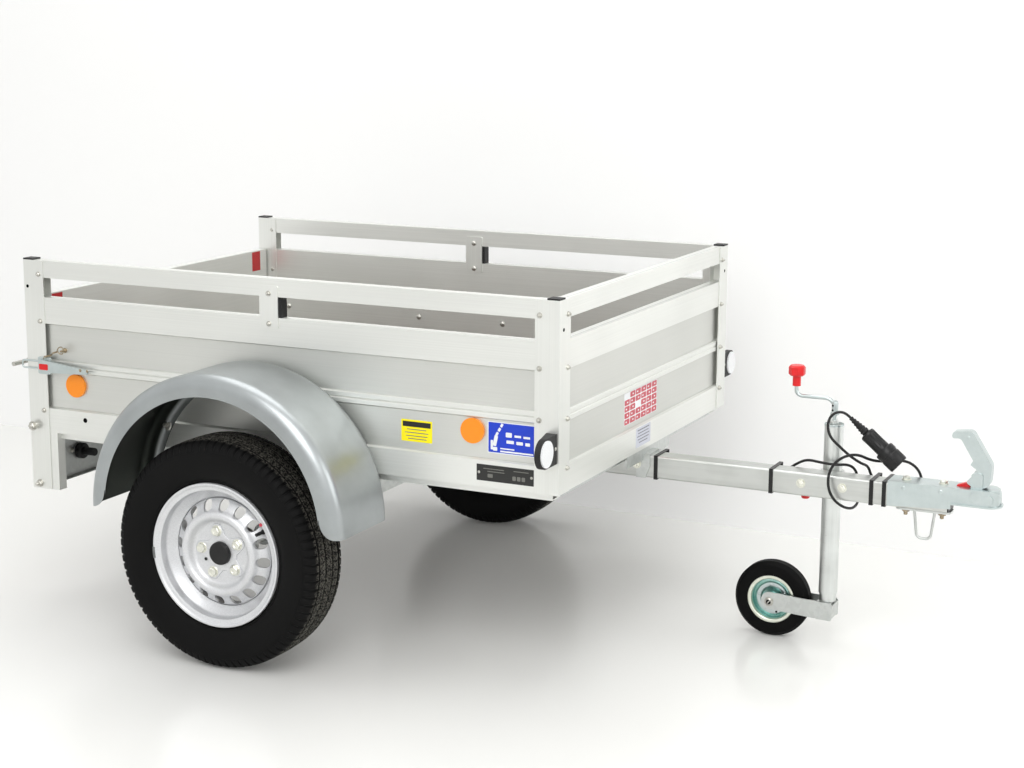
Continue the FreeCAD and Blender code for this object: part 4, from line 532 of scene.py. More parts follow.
plugParts = {
    "boot": 0.052, "bootTip": 0.0055, "bootRoot": 0.0118, "rings": 6, "ringDepth": 0.0014,
    "grip": 0.060, "gripRadius": 0.0192, "flutes": 14, "fluteShares": (0.9, 0.9, 0.985, 0.985),
    "collar": 0.054, "collarRadius": 0.0258, "collarFoot": 0.9,
    # (share of the radius, along) from each part's start and from its end; nought on the grip is the fluted stretch
    "gripStart": [(0.45, 0), (0.92, 0.003), (1, 0.006), (1, 0.012), (0, 0.014)],
    "gripEnd": [(0, -0.012), (1, -0.010), (1, 0), (0.9, 0.001)],
    "collarStart": [(0.92, 0), (1, 0.003), (1, 0.016), (0.955, 0.0175), (0.955, 0.0215), (1, 0.023)],
    "collarEnd": [(1, -0.004), (0.94, -0.0005), (0.8, -0.0005), (0.78, -0.004), (0, -0.004)],
    "bars": 5, "barTurn": 20, "barStart": 0.026, "barEnd": -0.008, "barSeat": 0.985, "barRadius": 0.0012,
}


def makeLead():
    curve = bpy.data.curves.new("tow_lead", "CURVE")
    curve.dimensions = "3D"
    curve.bevel_depth = towLead["diameter"] / 2
    curve.bevel_resolution = 3
    curve.resolution_u = 8
    line = curve.splines.new("NURBS")
    line.points.add(len(towLead["route"]) - 1)
    for point, place in zip(line.points, towLead["route"]):
        point.co = (*place, 1)
    line.order_u = 3
    line.use_endpoint_u = True
    curve.materials.append(finish["sheath"])
    lead = addObject("tow_lead", curve)
    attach(lead, "trailer")
    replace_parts(lead, "tow_cable")
    return lead


def makePlug():
    sizes = plugParts
    end, last = Vector(towLead["route"][-1]), Vector(towLead["route"][-2])
    spot = facing(end, end - last)
    mesh = bmesh.new()
    boot = [(0, 0), (sizes["bootTip"], 0)]
    step = sizes["boot"] / (2 * sizes["rings"])
    for k in range(2 * sizes["rings"]):
        share = (k + 0.5) / (2 * sizes["rings"])
        wide = sizes["bootTip"] + (sizes["bootRoot"] - sizes["bootTip"]) * share - sizes["ringDepth"] * (k % 2)
        boot += [(wide, step * k + step * 0.15), (wide, step * k + step * 0.85)]
    lathe(mesh, spot, boot + [(sizes["bootRoot"] * 0.8, sizes["boot"])], 24)
    low, high = sizes["boot"], sizes["boot"] + sizes["grip"]
    radius, count = sizes["gripRadius"], sizes["flutes"]
    marks = [(share, low + y) for share, y in sizes["gripStart"]] + [(share, high + y) for share, y in sizes["gripEnd"]]
    rings = []
    for share, along in marks:
        turns = [(2 * pi * i / (count * 4), radius * (share or sizes["fluteShares"][i % 4])) for i in range(count * 4)]
        rings.append([mesh.verts.new(spot @ Vector((wide * cos(a), wide * sin(a), along))) for a, wide in turns])
    bridge(mesh, rings)
    wide, tip = sizes["collarRadius"], high + sizes["collar"]
    collar = [(radius * sizes["collarFoot"], high)]
    for start, part in ((high, "collarStart"), (tip, "collarEnd")):
        collar += [(wide * share, start + y) for share, y in sizes[part]]
    lathe(mesh, spot, collar, 32)
    for k in range(sizes["bars"]):  # grip bars on the collar
        bar = spot @ Matrix.Rotation(radians(360 * k / sizes["bars"] + sizes["barTurn"]), 4, "Z")
        seat = wide * sizes["barSeat"]
        ends = [bar @ Vector((seat, 0, y)) for y in (high + sizes["barStart"], tip + sizes["barEnd"])]
        addWire(mesh, ends, sizes["barRadius"], 6)
    plug = makePiece("tow_plug_body", mesh, "nylon", "trailer")
    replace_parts(plug, "tow_plug")
    return plug


lead = makeLead()
plug = makePlug()
print("tow lead laid")


# road tyres

tyreForm = {
    "centre": axleSpot,
    "pitches": 84, "steps": 8,
    "side": [(0.0570, 0.1655), (0.0572, 0.1800), (0.0590, 0.1850), (0.0625, 0.1868), (0.0632, 0.1890),
             (0.0622, 0.1905), (0.0660, 0.1960), (0.0705, 0.2060), (0.0745, 0.2180), (0.0772, 0.2310),
             (0.0784, 0.2430), (0.0780, 0.2530), (0.0768, 0.2600), (0.0762, 0.2604), (0.0760, 0.2622),
             (0.0763, 0.2626), (0.0748, 0.2680), (0.0722, 0.2730), (0.0688, 0.2778), (0.0650, 0.2815),
             (0.0610, 0.2842), (0.0570, 0.2860), (0.0530, 0.2868)],
    "crown": 0.2890, "edge": 0.2872, "shoulder": 0.0530,
    "grooves": (0.0435, 0.0150), "grooveHalf": 0.0038, "grooveDepth": 0.0072,
    "grooveMarks": ((1.0, 0), (0.7, 1), (-0.7, 1), (-1.0, 0)),  # share across, share of the depth
    "bandSplit": (0.66, 0.33), "lugBand": 0.03, "middle": (0.0075, 0.0025),
    "lugFrom": 0.2640, "lugDepth": 0.0044, "lugGap": (0, 1), "sipeDepth": 0.0030, "sipeGap": (2, 3), "sipeSlant": 0.011,
}


def tyreMarks():
    # half of the section from the bead to the crown: (across, radius, kind)
    form = tyreForm
    marks = [(y, r, "lug" if r > form["lugFrom"] else "wall") for y, r in form["side"]]
    last = form["shoulder"]
    for middle in form["grooves"]:
        for share in form["bandSplit"]:
            y = middle + form["grooveHalf"] + (last - middle - form["grooveHalf"]) * share
            marks.append((y, crownAt(y), "lug" if middle > form["lugBand"] else "rib"))
        for offset, depth in form["grooveMarks"]:
            y = middle + offset * form["grooveHalf"]
            marks.append((y, crownAt(y) - depth * form["grooveDepth"], "groove"))
        last = middle - form["grooveHalf"]
    return marks + [(y, crownAt(y), "rib") for y in form["middle"]]


def crownAt(across):
    share = abs(across) / tyreForm["shoulder"]
    return tyreForm["crown"] - (tyreForm["crown"] - tyreForm["edge"]) * share ** 2


def makeTyre(side, sign):
    form = tyreForm
    half = tyreMarks()
    marks = half + [(-y, r, kind) for y, r, kind in reversed(half)]
    total = form["pitches"] * form["steps"]
    centre = Vector(form["centre"]) * Vector((1, sign, 1))
    mesh = bmesh.new()
    rings = []
    for i in range(total):
        ring = []
        a = 2 * pi * i / total
        for y, r, kind in marks:
            shift = round(abs(y) / form["sipeSlant"]) if kind == "rib" else 0
            phase = (i + shift + (form["steps"] // 2 if y < 0 else 0)) % form["steps"]
            if kind == "lug" and phase in form["lugGap"]:
                r -= form["lugDepth"]
            if kind == "rib" and phase in form["sipeGap"]:
                r -= form["sipeDepth"]
            ring.append(mesh.verts.new(centre + Vector((r * cos(a), y, r * sin(a)))))
        rings.append(ring)
    for i in range(total):
        one, two = rings[i], rings[(i + 1) % total]
        for k in range(len(marks) - 1):
            mesh.faces.new((one[k], one[k + 1], two[k + 1], two[k]))
    tyre = makePiece("road_tyre_" + side, mesh, "tyreRubber", "wheel_" + side, 28)
    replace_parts(tyre, "tyre_" + side)


makeTyre("right", -1)
makeTyre("left", 1)
print("road tyres moulded")


# pressed wheels: rim, disc with hand holes, star plate, bolts, valve and balance weight

wheelForm = {
    "centre": axleSpot, "steps": 144,
    # outer face from the lip to the bore, then the back: (outwards from the middle plane, radius)
    "face": [(0.0640, 0.1820), (0.0662, 0.1815), (0.0670, 0.1800), (0.0670, 0.1775), (0.0662, 0.1758), (0.0645, 0.1745),
             (0.0628, 0.1722), (0.0618, 0.1690), (0.0612, 0.1655), (0.0598, 0.1632), (0.0570, 0.1622), (0.0440, 0.1616),
             (0.0405, 0.1606), (0.0375, 0.1580), (0.0300, 0.1500), (0.0250, 0.1440), (0.0228, 0.1405), (0.0212, 0.1386),
             (0.0130, 0.1384), (0.0130, 0.1366), (0.0205, 0.1360), (0.0236, 0.1350), (0.0290, 0.1290), (0.0335, 0.1225),
             (0.0375, 0.1165), (0.0410, 0.1122), (0.0455, 0.1092), (0.0508, 0.1064), (0.0545, 0.1025), (0.0560, 0.0978),
             (0.0552, 0.0932), (0.0528, 0.0896), (0.0485, 0.0868), (0.0435, 0.0844), (0.0392, 0.0820), (0.0362, 0.0792),
             (0.0345, 0.0762), (0.0340, 0.0730), (0.0340, 0.0292)],
    "back": [(0.0300, 0.0292), (0.0300, 0.0745), (0.0345, 0.0810), (0.0480, 0.0905), (0.0512, 0.0945), (0.0512, 0.1000),
             (0.0465, 0.1035), (0.0370, 0.1085), (0.0180, 0.1330), (0.0050, 0.1350),
             (0.0050, 0.1390), (-0.0200, 0.1390), (-0.0320, 0.1620), (-0.0600, 0.1620), (-0.0600, 0.1760),
             (-0.0670, 0.1760), (-0.0670, 0.1820), (-0.0570, 0.1820), (-0.0570, 0.1650), (-0.0320, 0.1650),
             (-0.0200, 0.1420), (0.0200, 0.1420), (0.0320, 0.1650), (0.0570, 0.1650), (0.0570, 0.1820)],
    "holes": 16, "holeTurn": 4.7, "holeRing": 0.1212, "holeLong": 0.0136, "holeWide": 0.0129,
    "holeCorners": 28, "holeSquare": 2.6, "holeReach": (0.009, 0.060),
    "bolts": 5, "boltTurn": -11, "boltRing": 0.056, "flat": 0.0340,
    "boltCollar": [(0.0150, 0.0010), (0.0150, 0.0028), (0.0128, 0.0046), (0.0100, 0.0046)],
    "boltSides": [(0.0119, 0), (0.0119, 0.0112), (0.010234, 0.0126), (0.0060, 0.0126), (0.0050, 0.0118), (0, 0.0118)],
    "starCore": 0.0445, "starLobe": 0.0190, "starRise": 0.0034, "starBore": 0.0294, "starSteps": 180, "starBlend": 4,
    # outwards from the star's outline, share of its rise
    "starEdge": [(0.0010, 0), (0.0004, 0.75), (-0.0004, 0.95), (-0.0014, 1.0), (-0.0040, 1.0)],
    "hub": (0.0171, 0.068, 0.040), "hubMarks": (0.030, 0.019, -0.071),
    "valve": {"turn": 61, "foot": (0.038, 0.1440), "tip": (0.061, 0.1370), "radius": 0.0046},
    "weight": {"turn": -94.5, "span": 9, "radius": 0.1800, "along": 0.0655, "wire": 0.0040},
    "spot": {"turn": 55, "along": 0.0600, "radius": 0.1640, "size": 0.0045},
    # the drilled bore is a dark disc of painted shade
    "bore": {"turn": -115, "ring": 0.0495, "radius": 0.0042},
}


def wheelFrame(sign):
    # Z outwards along the axle, Y up, so a turn is measured from up towards the front
    centre = Vector(wheelForm["centre"]) * Vector((1, sign, 1))
    out, up = Vector((0, sign, 0)), Vector((0, 0, 1))
    return Matrix.Translation(centre) @ Matrix((up.cross(out), up, out)).transposed().to_4x4()


def atTurn(sign, turn, radius, along):
    # a turn from up towards the front, whichever way the side's own X points
    a = radians(turn)
    return Vector((-sign * radius * sin(a), radius * cos(a), along))


def makePressing(side, sign):
    form, spot = wheelForm, wheelFrame(sign)
    steps = form["steps"]
    mesh = bmesh.new()
    bridge(mesh, [[mesh.verts.new(spot @ Vector((r * cos(a), r * sin(a), y)))
                   for a in (2 * pi * i / steps for i in range(steps))] for y, r in form["face"] + form["back"]],
           closed=True)
    rim = makePiece("pressed_wheel_" + side, mesh, "lacquer", "wheel_" + side, 32)
    cutter = bmesh.new()
    corners, power = form["holeCorners"], form["holeSquare"]
    for number in range(form["holes"]):
        turn = form["holeTurn"] + 360 * number / form["holes"]
        rings = [[], []]
        for k in range(corners):
            a = 2 * pi * k / corners
            bulge = (abs(cos(a)) ** power + abs(sin(a)) ** power) ** (-1 / power)
            swing = turn + degrees(form["holeWide"] * bulge * cos(a) / form["holeRing"])
            reach = form["holeRing"] + form["holeLong"] * bulge * sin(a)
            for ring, along in zip(rings, form["holeReach"]):
                ring.append(cutter.verts.new(spot @ atTurn(sign, swing, reach, along)))
        for ring in rings:
            cutter.faces.new(ring)
        bridge(cutter, rings)
    bmesh.ops.recalc_face_normals(cutter, faces=cutter.faces)
    tool = addObject("holes", toData("holes", cutter))
    cut = rim.modifiers.new("hand holes", "BOOLEAN")
    cut.object = tool
    cut.solver = "EXACT"
    bpy.context.view_layer.update()
    rim.data = bpy.data.meshes.new_from_object(rim.evaluated_get(bpy.context.evaluated_depsgraph_get()))
    rim.modifiers.clear()
    bpy.data.objects.remove(tool)
    smoothFaces(rim.data, 32)
    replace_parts(rim, "rim_" + side)


def makeStar(side, sign):
    # raised star between the bolts
    form, spot = wheelForm, wheelFrame(sign)
    count, ring, lobe, part = form["starSteps"], form["boltRing"], form["starLobe"], 360 / form["bolts"]
    reach = []
    for i in range(count):
        a = radians((360 * i / count - form["boltTurn"] + part / 2) % part - part / 2)
        wide = form["starCore"]
        if abs(ring * sin(a)) < lobe:
            wide = max(wide, ring * cos(a) + (lobe ** 2 - (ring * sin(a)) ** 2) ** 0.5)
        reach.append(wide)
    near = range(-form["starBlend"], form["starBlend"] + 1)
    reach = [sum(reach[(i + k) % count] for k in near) / len(near) for i in range(count)]
    rows = [([wide + grow for wide in reach], rise) for grow, rise in form["starEdge"]]
    rows.append(([form["starBore"]] * count, 1.0))
    mesh = bmesh.new()
    bridge(mesh, [[mesh.verts.new(spot @ atTurn(sign, 360 * i / count, wide, form["flat"] + form["starRise"] * rise))
                   for i, wide in enumerate(row)] for row, rise in rows])
    makePiece("star_plate_" + side, mesh, "lacquer", "wheel_" + side, 40)


def makeWheel(side, sign):
    form, spot, out, body = wheelForm, wheelFrame(sign), (0, sign, 0), "wheel_" + side
    makePressing(side, sign)
    makeStar(side, sign)
    mesh = bmesh.new()
    for number in range(form["bolts"]):
        turn = form["boltTurn"] + 360 * number / form["bolts"]
        head = facing(spot @ atTurn(sign, turn, form["boltRing"], form["flat"]), out)
        lathe(mesh, head, form["boltCollar"], 24)
        lathe(mesh, head, form["boltSides"], 6, 0, radians(12 * number))
    makePiece("wheel_bolts_" + side, mesh, "boltZinc", body, 30)
    mesh = bmesh.new()
    bore, flange, barrel = form["hub"]
    face, step, back = form["hubMarks"]
    lathe(mesh, spot, [(bore, face), (flange, face), (flange, step), (barrel, step), (barrel, back), (bore, back),
                       (bore, face)], 64)
    bmesh.ops.remove_doubles(mesh, verts=mesh.verts, dist=0.00001)
    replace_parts(makePiece("hub_drum_" + side, mesh, "hubMetal", body, 30), "hub_" + side)
    mesh = bmesh.new()
    valve = form["valve"]
    foot, tip = (spot @ atTurn(sign, valve["turn"], r, y) for y, r in (valve["foot"], valve["tip"]))
    long, wide = (tip - foot).length, valve["radius"]
    lathe(mesh, facing(foot, tip - foot), [(wide * 1.5, 0), (wide * 1.25, 0.004), (wide, 0.006), (wide, long * 0.62),
                                           (wide * 0.92, long * 0.64), (wide * 0.92, long), (0, long)], 16)
    # painted shade: a dark disc for the drilled bore in the star plate
    drilled = form["bore"]
    place = spot @ atTurn(sign, drilled["turn"], drilled["ring"], form["flat"] + form["starRise"])
    addDisc(mesh, place, out, drilled["radius"], 16)
    makePiece("wheel_valve_" + side, mesh, "nylon", body)
    mesh = bmesh.new()
    mark = form["spot"]
    lathe(mesh, facing(spot @ atTurn(sign, mark["turn"], mark["radius"], mark["along"]), out),
          [(mark["size"], 0.0016), (mark["size"], 0.0022), (0, 0.0022)], 12)
    makePiece("wheel_spot_" + side, mesh, "redFilm", body)
    mesh = bmesh.new()
    weight = form["weight"]
    turns = [weight["turn"] + (k / 8 - 0.5) * weight["span"] for k in range(9)]
    addWire(mesh, [spot @ atTurn(sign, turn, weight["radius"], weight["along"]) for turn in turns], weight["wire"], 8)
    makePiece("balance_weight_" + side, mesh, "lead", body)


makeWheel("right", -1)
makeWheel("left", 1)
print("wheels pressed")


# jockey wheel in three colours of passivation, with its axle bolt

jockeyForm = {
    "centre": (0.670, 0.060, 0.100), "steps": 72, "bore": 0.0082,
    "flange": [(0.0175, 0.0640), (0.0200, 0.0638), (0.0212, 0.0628), (0.0215, 0.0605), (0.0213, 0.0568),
               (0.0205, 0.0548), (0.0185, 0.0537), (0.0120, 0.0530)],
    "well": [(0.0120, 0.0530), (0.0062, 0.0524), (0.0045, 0.0512), (0.0045, 0.0460), (0.0060, 0.0438),
             (0.0090, 0.0430)],
    "ring": [(0.0090, 0.0430), (0.0108, 0.0418), (0.0113, 0.0398), (0.0113, 0.0332), (0.0106, 0.0308),
             (0.0088, 0.0294)],
    "middle": [(0.0088, 0.0294), (0.0052, 0.0284), (0.0045, 0.0262), (0.0045, 0.0172), (0.0060, 0.0162),
               (0.0250, 0.0158), (0.0256, 0.0150), (0.0256, 0.0082)],
    "rim": 0.0640, "rimHalf": 0.0175, "boreHalf": 0.0256,
    "rivets": 5, "rivetTurn": 25, "rivetRing": 0.0366, "rivetFace": 0.0112, "rivet": (0.0034, 0.0014),
    # axle bolt: its washers and head, then the socket in it, closed by a dark disc of painted shade; the fork's hole is
    # a dark disc of painted shade too; the slot has a place, two ways, sizes and a corner
    "axle": (0.668, 0.0290, 0.096), "hole": (0.689, 0.0290, 0.0715), "holeRadius": 0.0030,
    "head": [(0.0125, 0), (0.0125, 0.0012), (0.0112, 0.0016), (0.0098, 0.0016), (0.0094, 0.0042), (0.0080, 0.0052),
             (0.0068, 0.0052), (0.0066, 0.0030)], "socket": [(0.0068, 0.0030), (0, 0.0030)],
    "slot": ((0.668, 0.0259, 0.096), (0.62, 0, 0.78), (-0.78, 0, 0.62), 0.0120, 0.0026, 0.0006, 0.0008),
    "mast": (0.815, 0.060), "sleeveFoot": 0.6015, "ringFoot": 0.5735,
    "sleeve": [(0.0112, 0), (0.0112, 0.004), (0.0084, 0.007), (0.0084, 0.030), (0.0066, 0.035), (0.0050, 0.035)],
    "pin": (0.8115, 0.0526), "pinWay": (-0.4, -0.92, 0), "pinHeights": (0.012, 0.024),
    "pinSides": [(0.0028, 0), (0.0028, 0.0005), (0, 0.0005)],
    "clampRing": [(0.0240, 0), (0.0246, 0.0008), (0.0246, 0.0042), (0.0240, 0.0050)],
    "scale": {"count": 8, "low": 0.190, "step": 0.020, "radius": 0.02345, "turn": -128, "span": 34, "wire": 0.0006},
}


def makeJockeyWheel():
    form = jockeyForm
    mesh = bmesh.new()
    for out in (-1, 1):
        spot = facing(form["centre"], (0, out, 0))
        for number, band in enumerate(("flange", "well", "ring", "middle")):
            lathe(mesh, spot, [(r, y) for y, r in form[band]], form["steps"], number % 2 + (number == 2) * 2)
        for k in range(form["rivets"]):
            turn = Matrix.Rotation(radians(360 * k / form["rivets"] + form["rivetTurn"]), 4, "Z")
            place = spot @ turn @ Vector((form["rivetRing"], 0, form["rivetFace"]))
            addDome(mesh, place, (0, out, 0), *form["rivet"], 2)
    spot = facing(form["centre"], (0, 1, 0))
    lathe(mesh, spot, [(form["rim"], -form["rimHalf"]), (form["rim"], form["rimHalf"])], form["steps"], 0)
    lathe(mesh, spot, [(form["bore"], form["boreHalf"]), (form["bore"], -form["boreHalf"])], 24, 1)
    bmesh.ops.remove_doubles(mesh, verts=mesh.verts, dist=0.00001)
    platings = ["creamZinc", "greenZinc", "blueZinc"]
    rim = makePiece("jockey_wheel_disc", mesh, platings, "jockey_roller", 40)
    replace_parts(rim, "jockey_rim")
    bolt = bmesh.new()
    spot = facing(form["axle"], (0, -1, 0))
    lathe(bolt, spot, form["head"], 28)
    # the socket and the fork's hole: dark discs, painted shade
    lathe(bolt, spot, form["socket"], 28, 1)
    addDisc(bolt, form["hole"], (0, -1, 0), form["holeRadius"], 14, 1)
    addPlate(bolt, *form["slot"])
    makePiece("jockey_axle_bolt", bolt, ["fastener", "hole"], "jockey_swivel", 30)
    sleeve = bmesh.new()
    lathe(sleeve, facing((*form["mast"], form["sleeveFoot"]), (0, 0, 1)), form["sleeve"], 24)
    # dark discs at the pin, painted shade
    for height in form["pinHeights"]:
        lathe(sleeve, facing((*form["pin"], form["sleeveFoot"] + height), form["pinWay"]), form["pinSides"], 12, 1)
    lathe(sleeve, facing((*form["mast"], form["ringFoot"]), (0, 0, 1)), form["clampRing"], 40)
    scale = form["scale"]
    for number in range(scale["count"]):  # rolled height marks on the tube
        spot = Matrix.Translation((*form["mast"], scale["low"] + number * scale["step"]))
        turns = [radians(scale["turn"] + k * scale["span"] / 5) for k in range(6)]
        addWire(sleeve, [spot @ Vector((scale["radius"] * cos(a), scale["radius"] * sin(a), 0)) for a in turns],
                scale["wire"], 6, 2)
    makePiece("crank_sleeve", sleeve, ["blueZinc", "hole", "lead"], "jockey_mast", 30)


makeJockeyWheel()
print("jockey wheel pressed")


# fasteners

nutSizes = {  # washer's radius and thickness, nut's corner radius and height, bolt's radius and bare end
    "small": (0.0068, 0.0012, 0.0056, 0.0042, 0.0028, 0.0022),
    "latch": (0.0068, 0.0012, 0.0056, 0.0042, 0.0028, 0.012),
    "foot": (0.0105, 0.002, 0.009, 0.007, 0.0045, 0.008),
    "pivot": (0.0095, 0.001, 0.0075, 0.005, 0.004, 0.001),
    "hinge": (0.0128, 0.0022, 0.0098, 0.0072, 0.0048, 0.0012),
    "big": (0.0125, 0.002, 0.0098, 0.008, 0.005, 0.007),
    "flat": (0.012, 0.0015, 0.0095, 0.0065, 0.0045, 0.0),
}
rowHeights = (0.909, 0.783, 0.660, 0.541)
# places on the left side, each with its mirror image on the right: (where, which way, size)
boxNuts = [((0.288, 0.580, z), "out", "small") for z in rowHeights[:3]]
boxNuts += [((-1.173, 0.580, rowHeights[k]), "out", "small") for k in (0, 1, 3)]
boxNuts += [((0.339, 0.5325, z), "ahead", "small") for z in rowHeights]
boxNuts += [((-0.454, 0.5805, z), "out", "small") for z in (0.908, 0.832)]
boxNuts += [((-1.197, 0.580, 0.338), "out", "foot"), ((-1.2045, 0.435, 0.3967), "ahead", "small"),
            ((-0.775, 0.5817, 0.542), "out", "pivot")]
boxHeads = [((-1.173, 0.5505, rowHeights[k]), "in", (0.0075, 0.004)) for k in (0, 1, 3)]
boxHeads += [((x, 0.5505, 0.6685), "in", (0.008, 0.0045)) for x in (-1.115, -0.645, -0.359, 0.060)]
boxHeads += [((-0.454, 0.5475, z), "in", (0.0075, 0.004)) for z in (0.908, 0.832)]
boxHeads += [((0.335, 0.588, 0.598), "ahead", (0.0048, 0.0024)), ((-0.775, 0.5797, 0.542), "out", (0.016, 0.002))]
# drilled holes as dark discs of painted shade
boxHoles = [((-1.210, 0.580, 0.875), "out", 0.0045), ((0.339, 0.556, 0.875), "ahead", 0.0045),
            ((-1.039, 0.5775, 0.526), "out", 0.0065)]


def mirrored(rows):
    # each row on the right side, then on the left
    for sign in (-1, 1):
        ways = {"out": (0, sign, 0), "in": (0, -sign, 0), "ahead": (1, 0, 0)}
        for (x, y, z), way, size in rows:
            yield (x, sign * y, z), ways[way], size


def makeBoxFasteners():
    mesh = bmesh.new()
    for place, way, size in mirrored(boxNuts):
        addNut(mesh, place, way, nutSizes[size])
    for place, way, size in mirrored(boxHeads):
        addDome(mesh, place, way, *size)
    makePiece("box_fasteners", mesh, "fastener", "trailer")
    # the holes' dark discs are painted shade
    holes = bmesh.new()
    for place, way, radius in mirrored(boxHoles):
        addDisc(holes, place, way, radius, 20)
    makePiece("drilled_holes", holes, "hole", "trailer")


makeBoxFasteners()

latchForm = {
    "lever": -0.594, "red": (-1.172, -1.143, 0.655, 0.671), "rivets": (-1.036, -1.013), "height": 0.664,
    "wire": [(-1.160, -0.590, 0.684), (-1.150, -0.598, 0.692), (-1.134, -0.588, 0.696), (-1.122, -0.597, 0.704),
             (-1.110, -0.588, 0.708)], "wireRadius": 0.0012,
    "ring": (-1.101, -0.590, 0.711), "ringRadius": 0.0095, "ringBend": 0.002, "ringWire": 0.0015,
    "eye": (-1.104, 0.5685, 0.708), "rivet": (0.0042, 0.0022), "redEdge": (0.003, 0.0006),
    "hinge": (-1.2035, 0.5921, 0.498),
    "reflector": (-1.1915, 0.4845, 0.815), "reflectorSize": (0.045, 0.060, 0.001, 0.0003),
}


def makeLatchDetails():
    form = latchForm
    low, high, foot, head = form["red"]
    for side, sign in (("right", -1), ("left", 1)):
        mesh = bmesh.new()
        middle = ((low + high) / 2, -sign * form["lever"], (foot + head) / 2)
        addPlate(mesh, middle, (-sign, 0, 0), (0, 0, 1), high - low, head - foot, *form["redEdge"], 1)
        for x in form["rivets"]:
            addDome(mesh, (x, -sign * form["lever"], form["height"]), (0, sign, 0), *form["rivet"])
        for lift in (-form["wireRadius"], form["wireRadius"]):
            addWire(mesh, [(x, -sign * y, z + lift) for x, y, z in form["wire"]], form["wireRadius"], 6)
        x, y, z = form["ring"]
        wide, bend = form["ringRadius"], form["ringBend"]
        addWire(mesh, [(x + wide * cos(a), sign * (bend * cos(2 * a) - y), z + wide * sin(a))
                       for a in (radians(20 * k) for k in range(18))], form["ringWire"], 8, 0, True)
        x, y, z = form["eye"]
        addNut(mesh, (x, sign * y, z), (0, sign, 0), nutSizes["latch"])
        makePiece("latch_details_" + side, mesh, ["brownZinc", "redKnob"], "trailer")
    mesh = bmesh.new()
    for place, way, size in mirrored([(form["hinge"], "out", "hinge")]):
        addNut(mesh, place, way, nutSizes[size])
    for place, _, size in mirrored([(form["reflector"], "in", form["reflectorSize"])]):
        addPlate(mesh, place, (0, 1, 0), (0, 0, 1), *size, 1)
    makePiece("tailgate_details", mesh, ["fastener", "redLens"], "tailgate")


makeLatchDetails()

drawbarFixings = {
    # (along, height), and the rivets' radius
    "bar": [(0.760, 0.437), (0.8665, 0.437)], "barFace": 0.030, "barHead": (0.0085, 0.004), "headFace": 0.033,
    "under": [(1.021, 0.399), (1.111, 0.399)], "top": [(1.020, 0.470), (1.112, 0.470)],
    "bracket": (0.318, -0.035, 0.440),
    "side": [(1.197, 0.4550, 0.0155), (1.112, 0.456, 0.0055), (1.021, 0.455, 0.0055)], "sideFace": 0.034,
    "lever": [(1.169, 0.594, 0.0042), (1.200, 0.506, 0.0040)], "leverFace": 0.014, "rivetHeight": 0.0012,
    "cap": ((1.129, 0, 0.4335), (0, 1, 0), (0, 0, 1), 0.058, 0.058, 0.004, 0.003),
}


def makeDrawbarFasteners():
    form = drawbarFixings
    mesh = bmesh.new()
    for x, z in form["bar"]:
        addNut(mesh, (x, -form["barFace"], z), (0, -1, 0), nutSizes["flat"])
        addDome(mesh, (x, form["headFace"], z), (0, 1, 0), *form["barHead"])
    for x, z in form["under"]:
        addNut(mesh, (x, 0, z), (0, 0, -1), nutSizes["big"], 1)
    for x, z in form["top"]:
        addNut(mesh, (x, 0, z), (0, 0, 1), nutSizes["flat"])
    addNut(mesh, form["bracket"], (0, -1, 0), nutSizes["big"])
    makePiece("drawbar_fasteners", mesh, ["boltZinc", "brownZinc"], "trailer")
    rivets = bmesh.new()
    rows = [((x, form[part + "Face"], z), "out", (wide, form["rivetHeight"]))
            for part in ("side", "lever") for x, z, wide in form[part]]
    for place, way, size in mirrored(rows):
        addDome(rivets, place, way, *size)
    makePiece("coupling_rivets", rivets, "blueZinc", "trailer")
    cap = bmesh.new()
    addPlate(cap, *form["cap"])
    makePiece("drawbar_end_cap", cap, "nylon", "trailer")


makeDrawbarFasteners()
print("fasteners set")


# labels, left without words

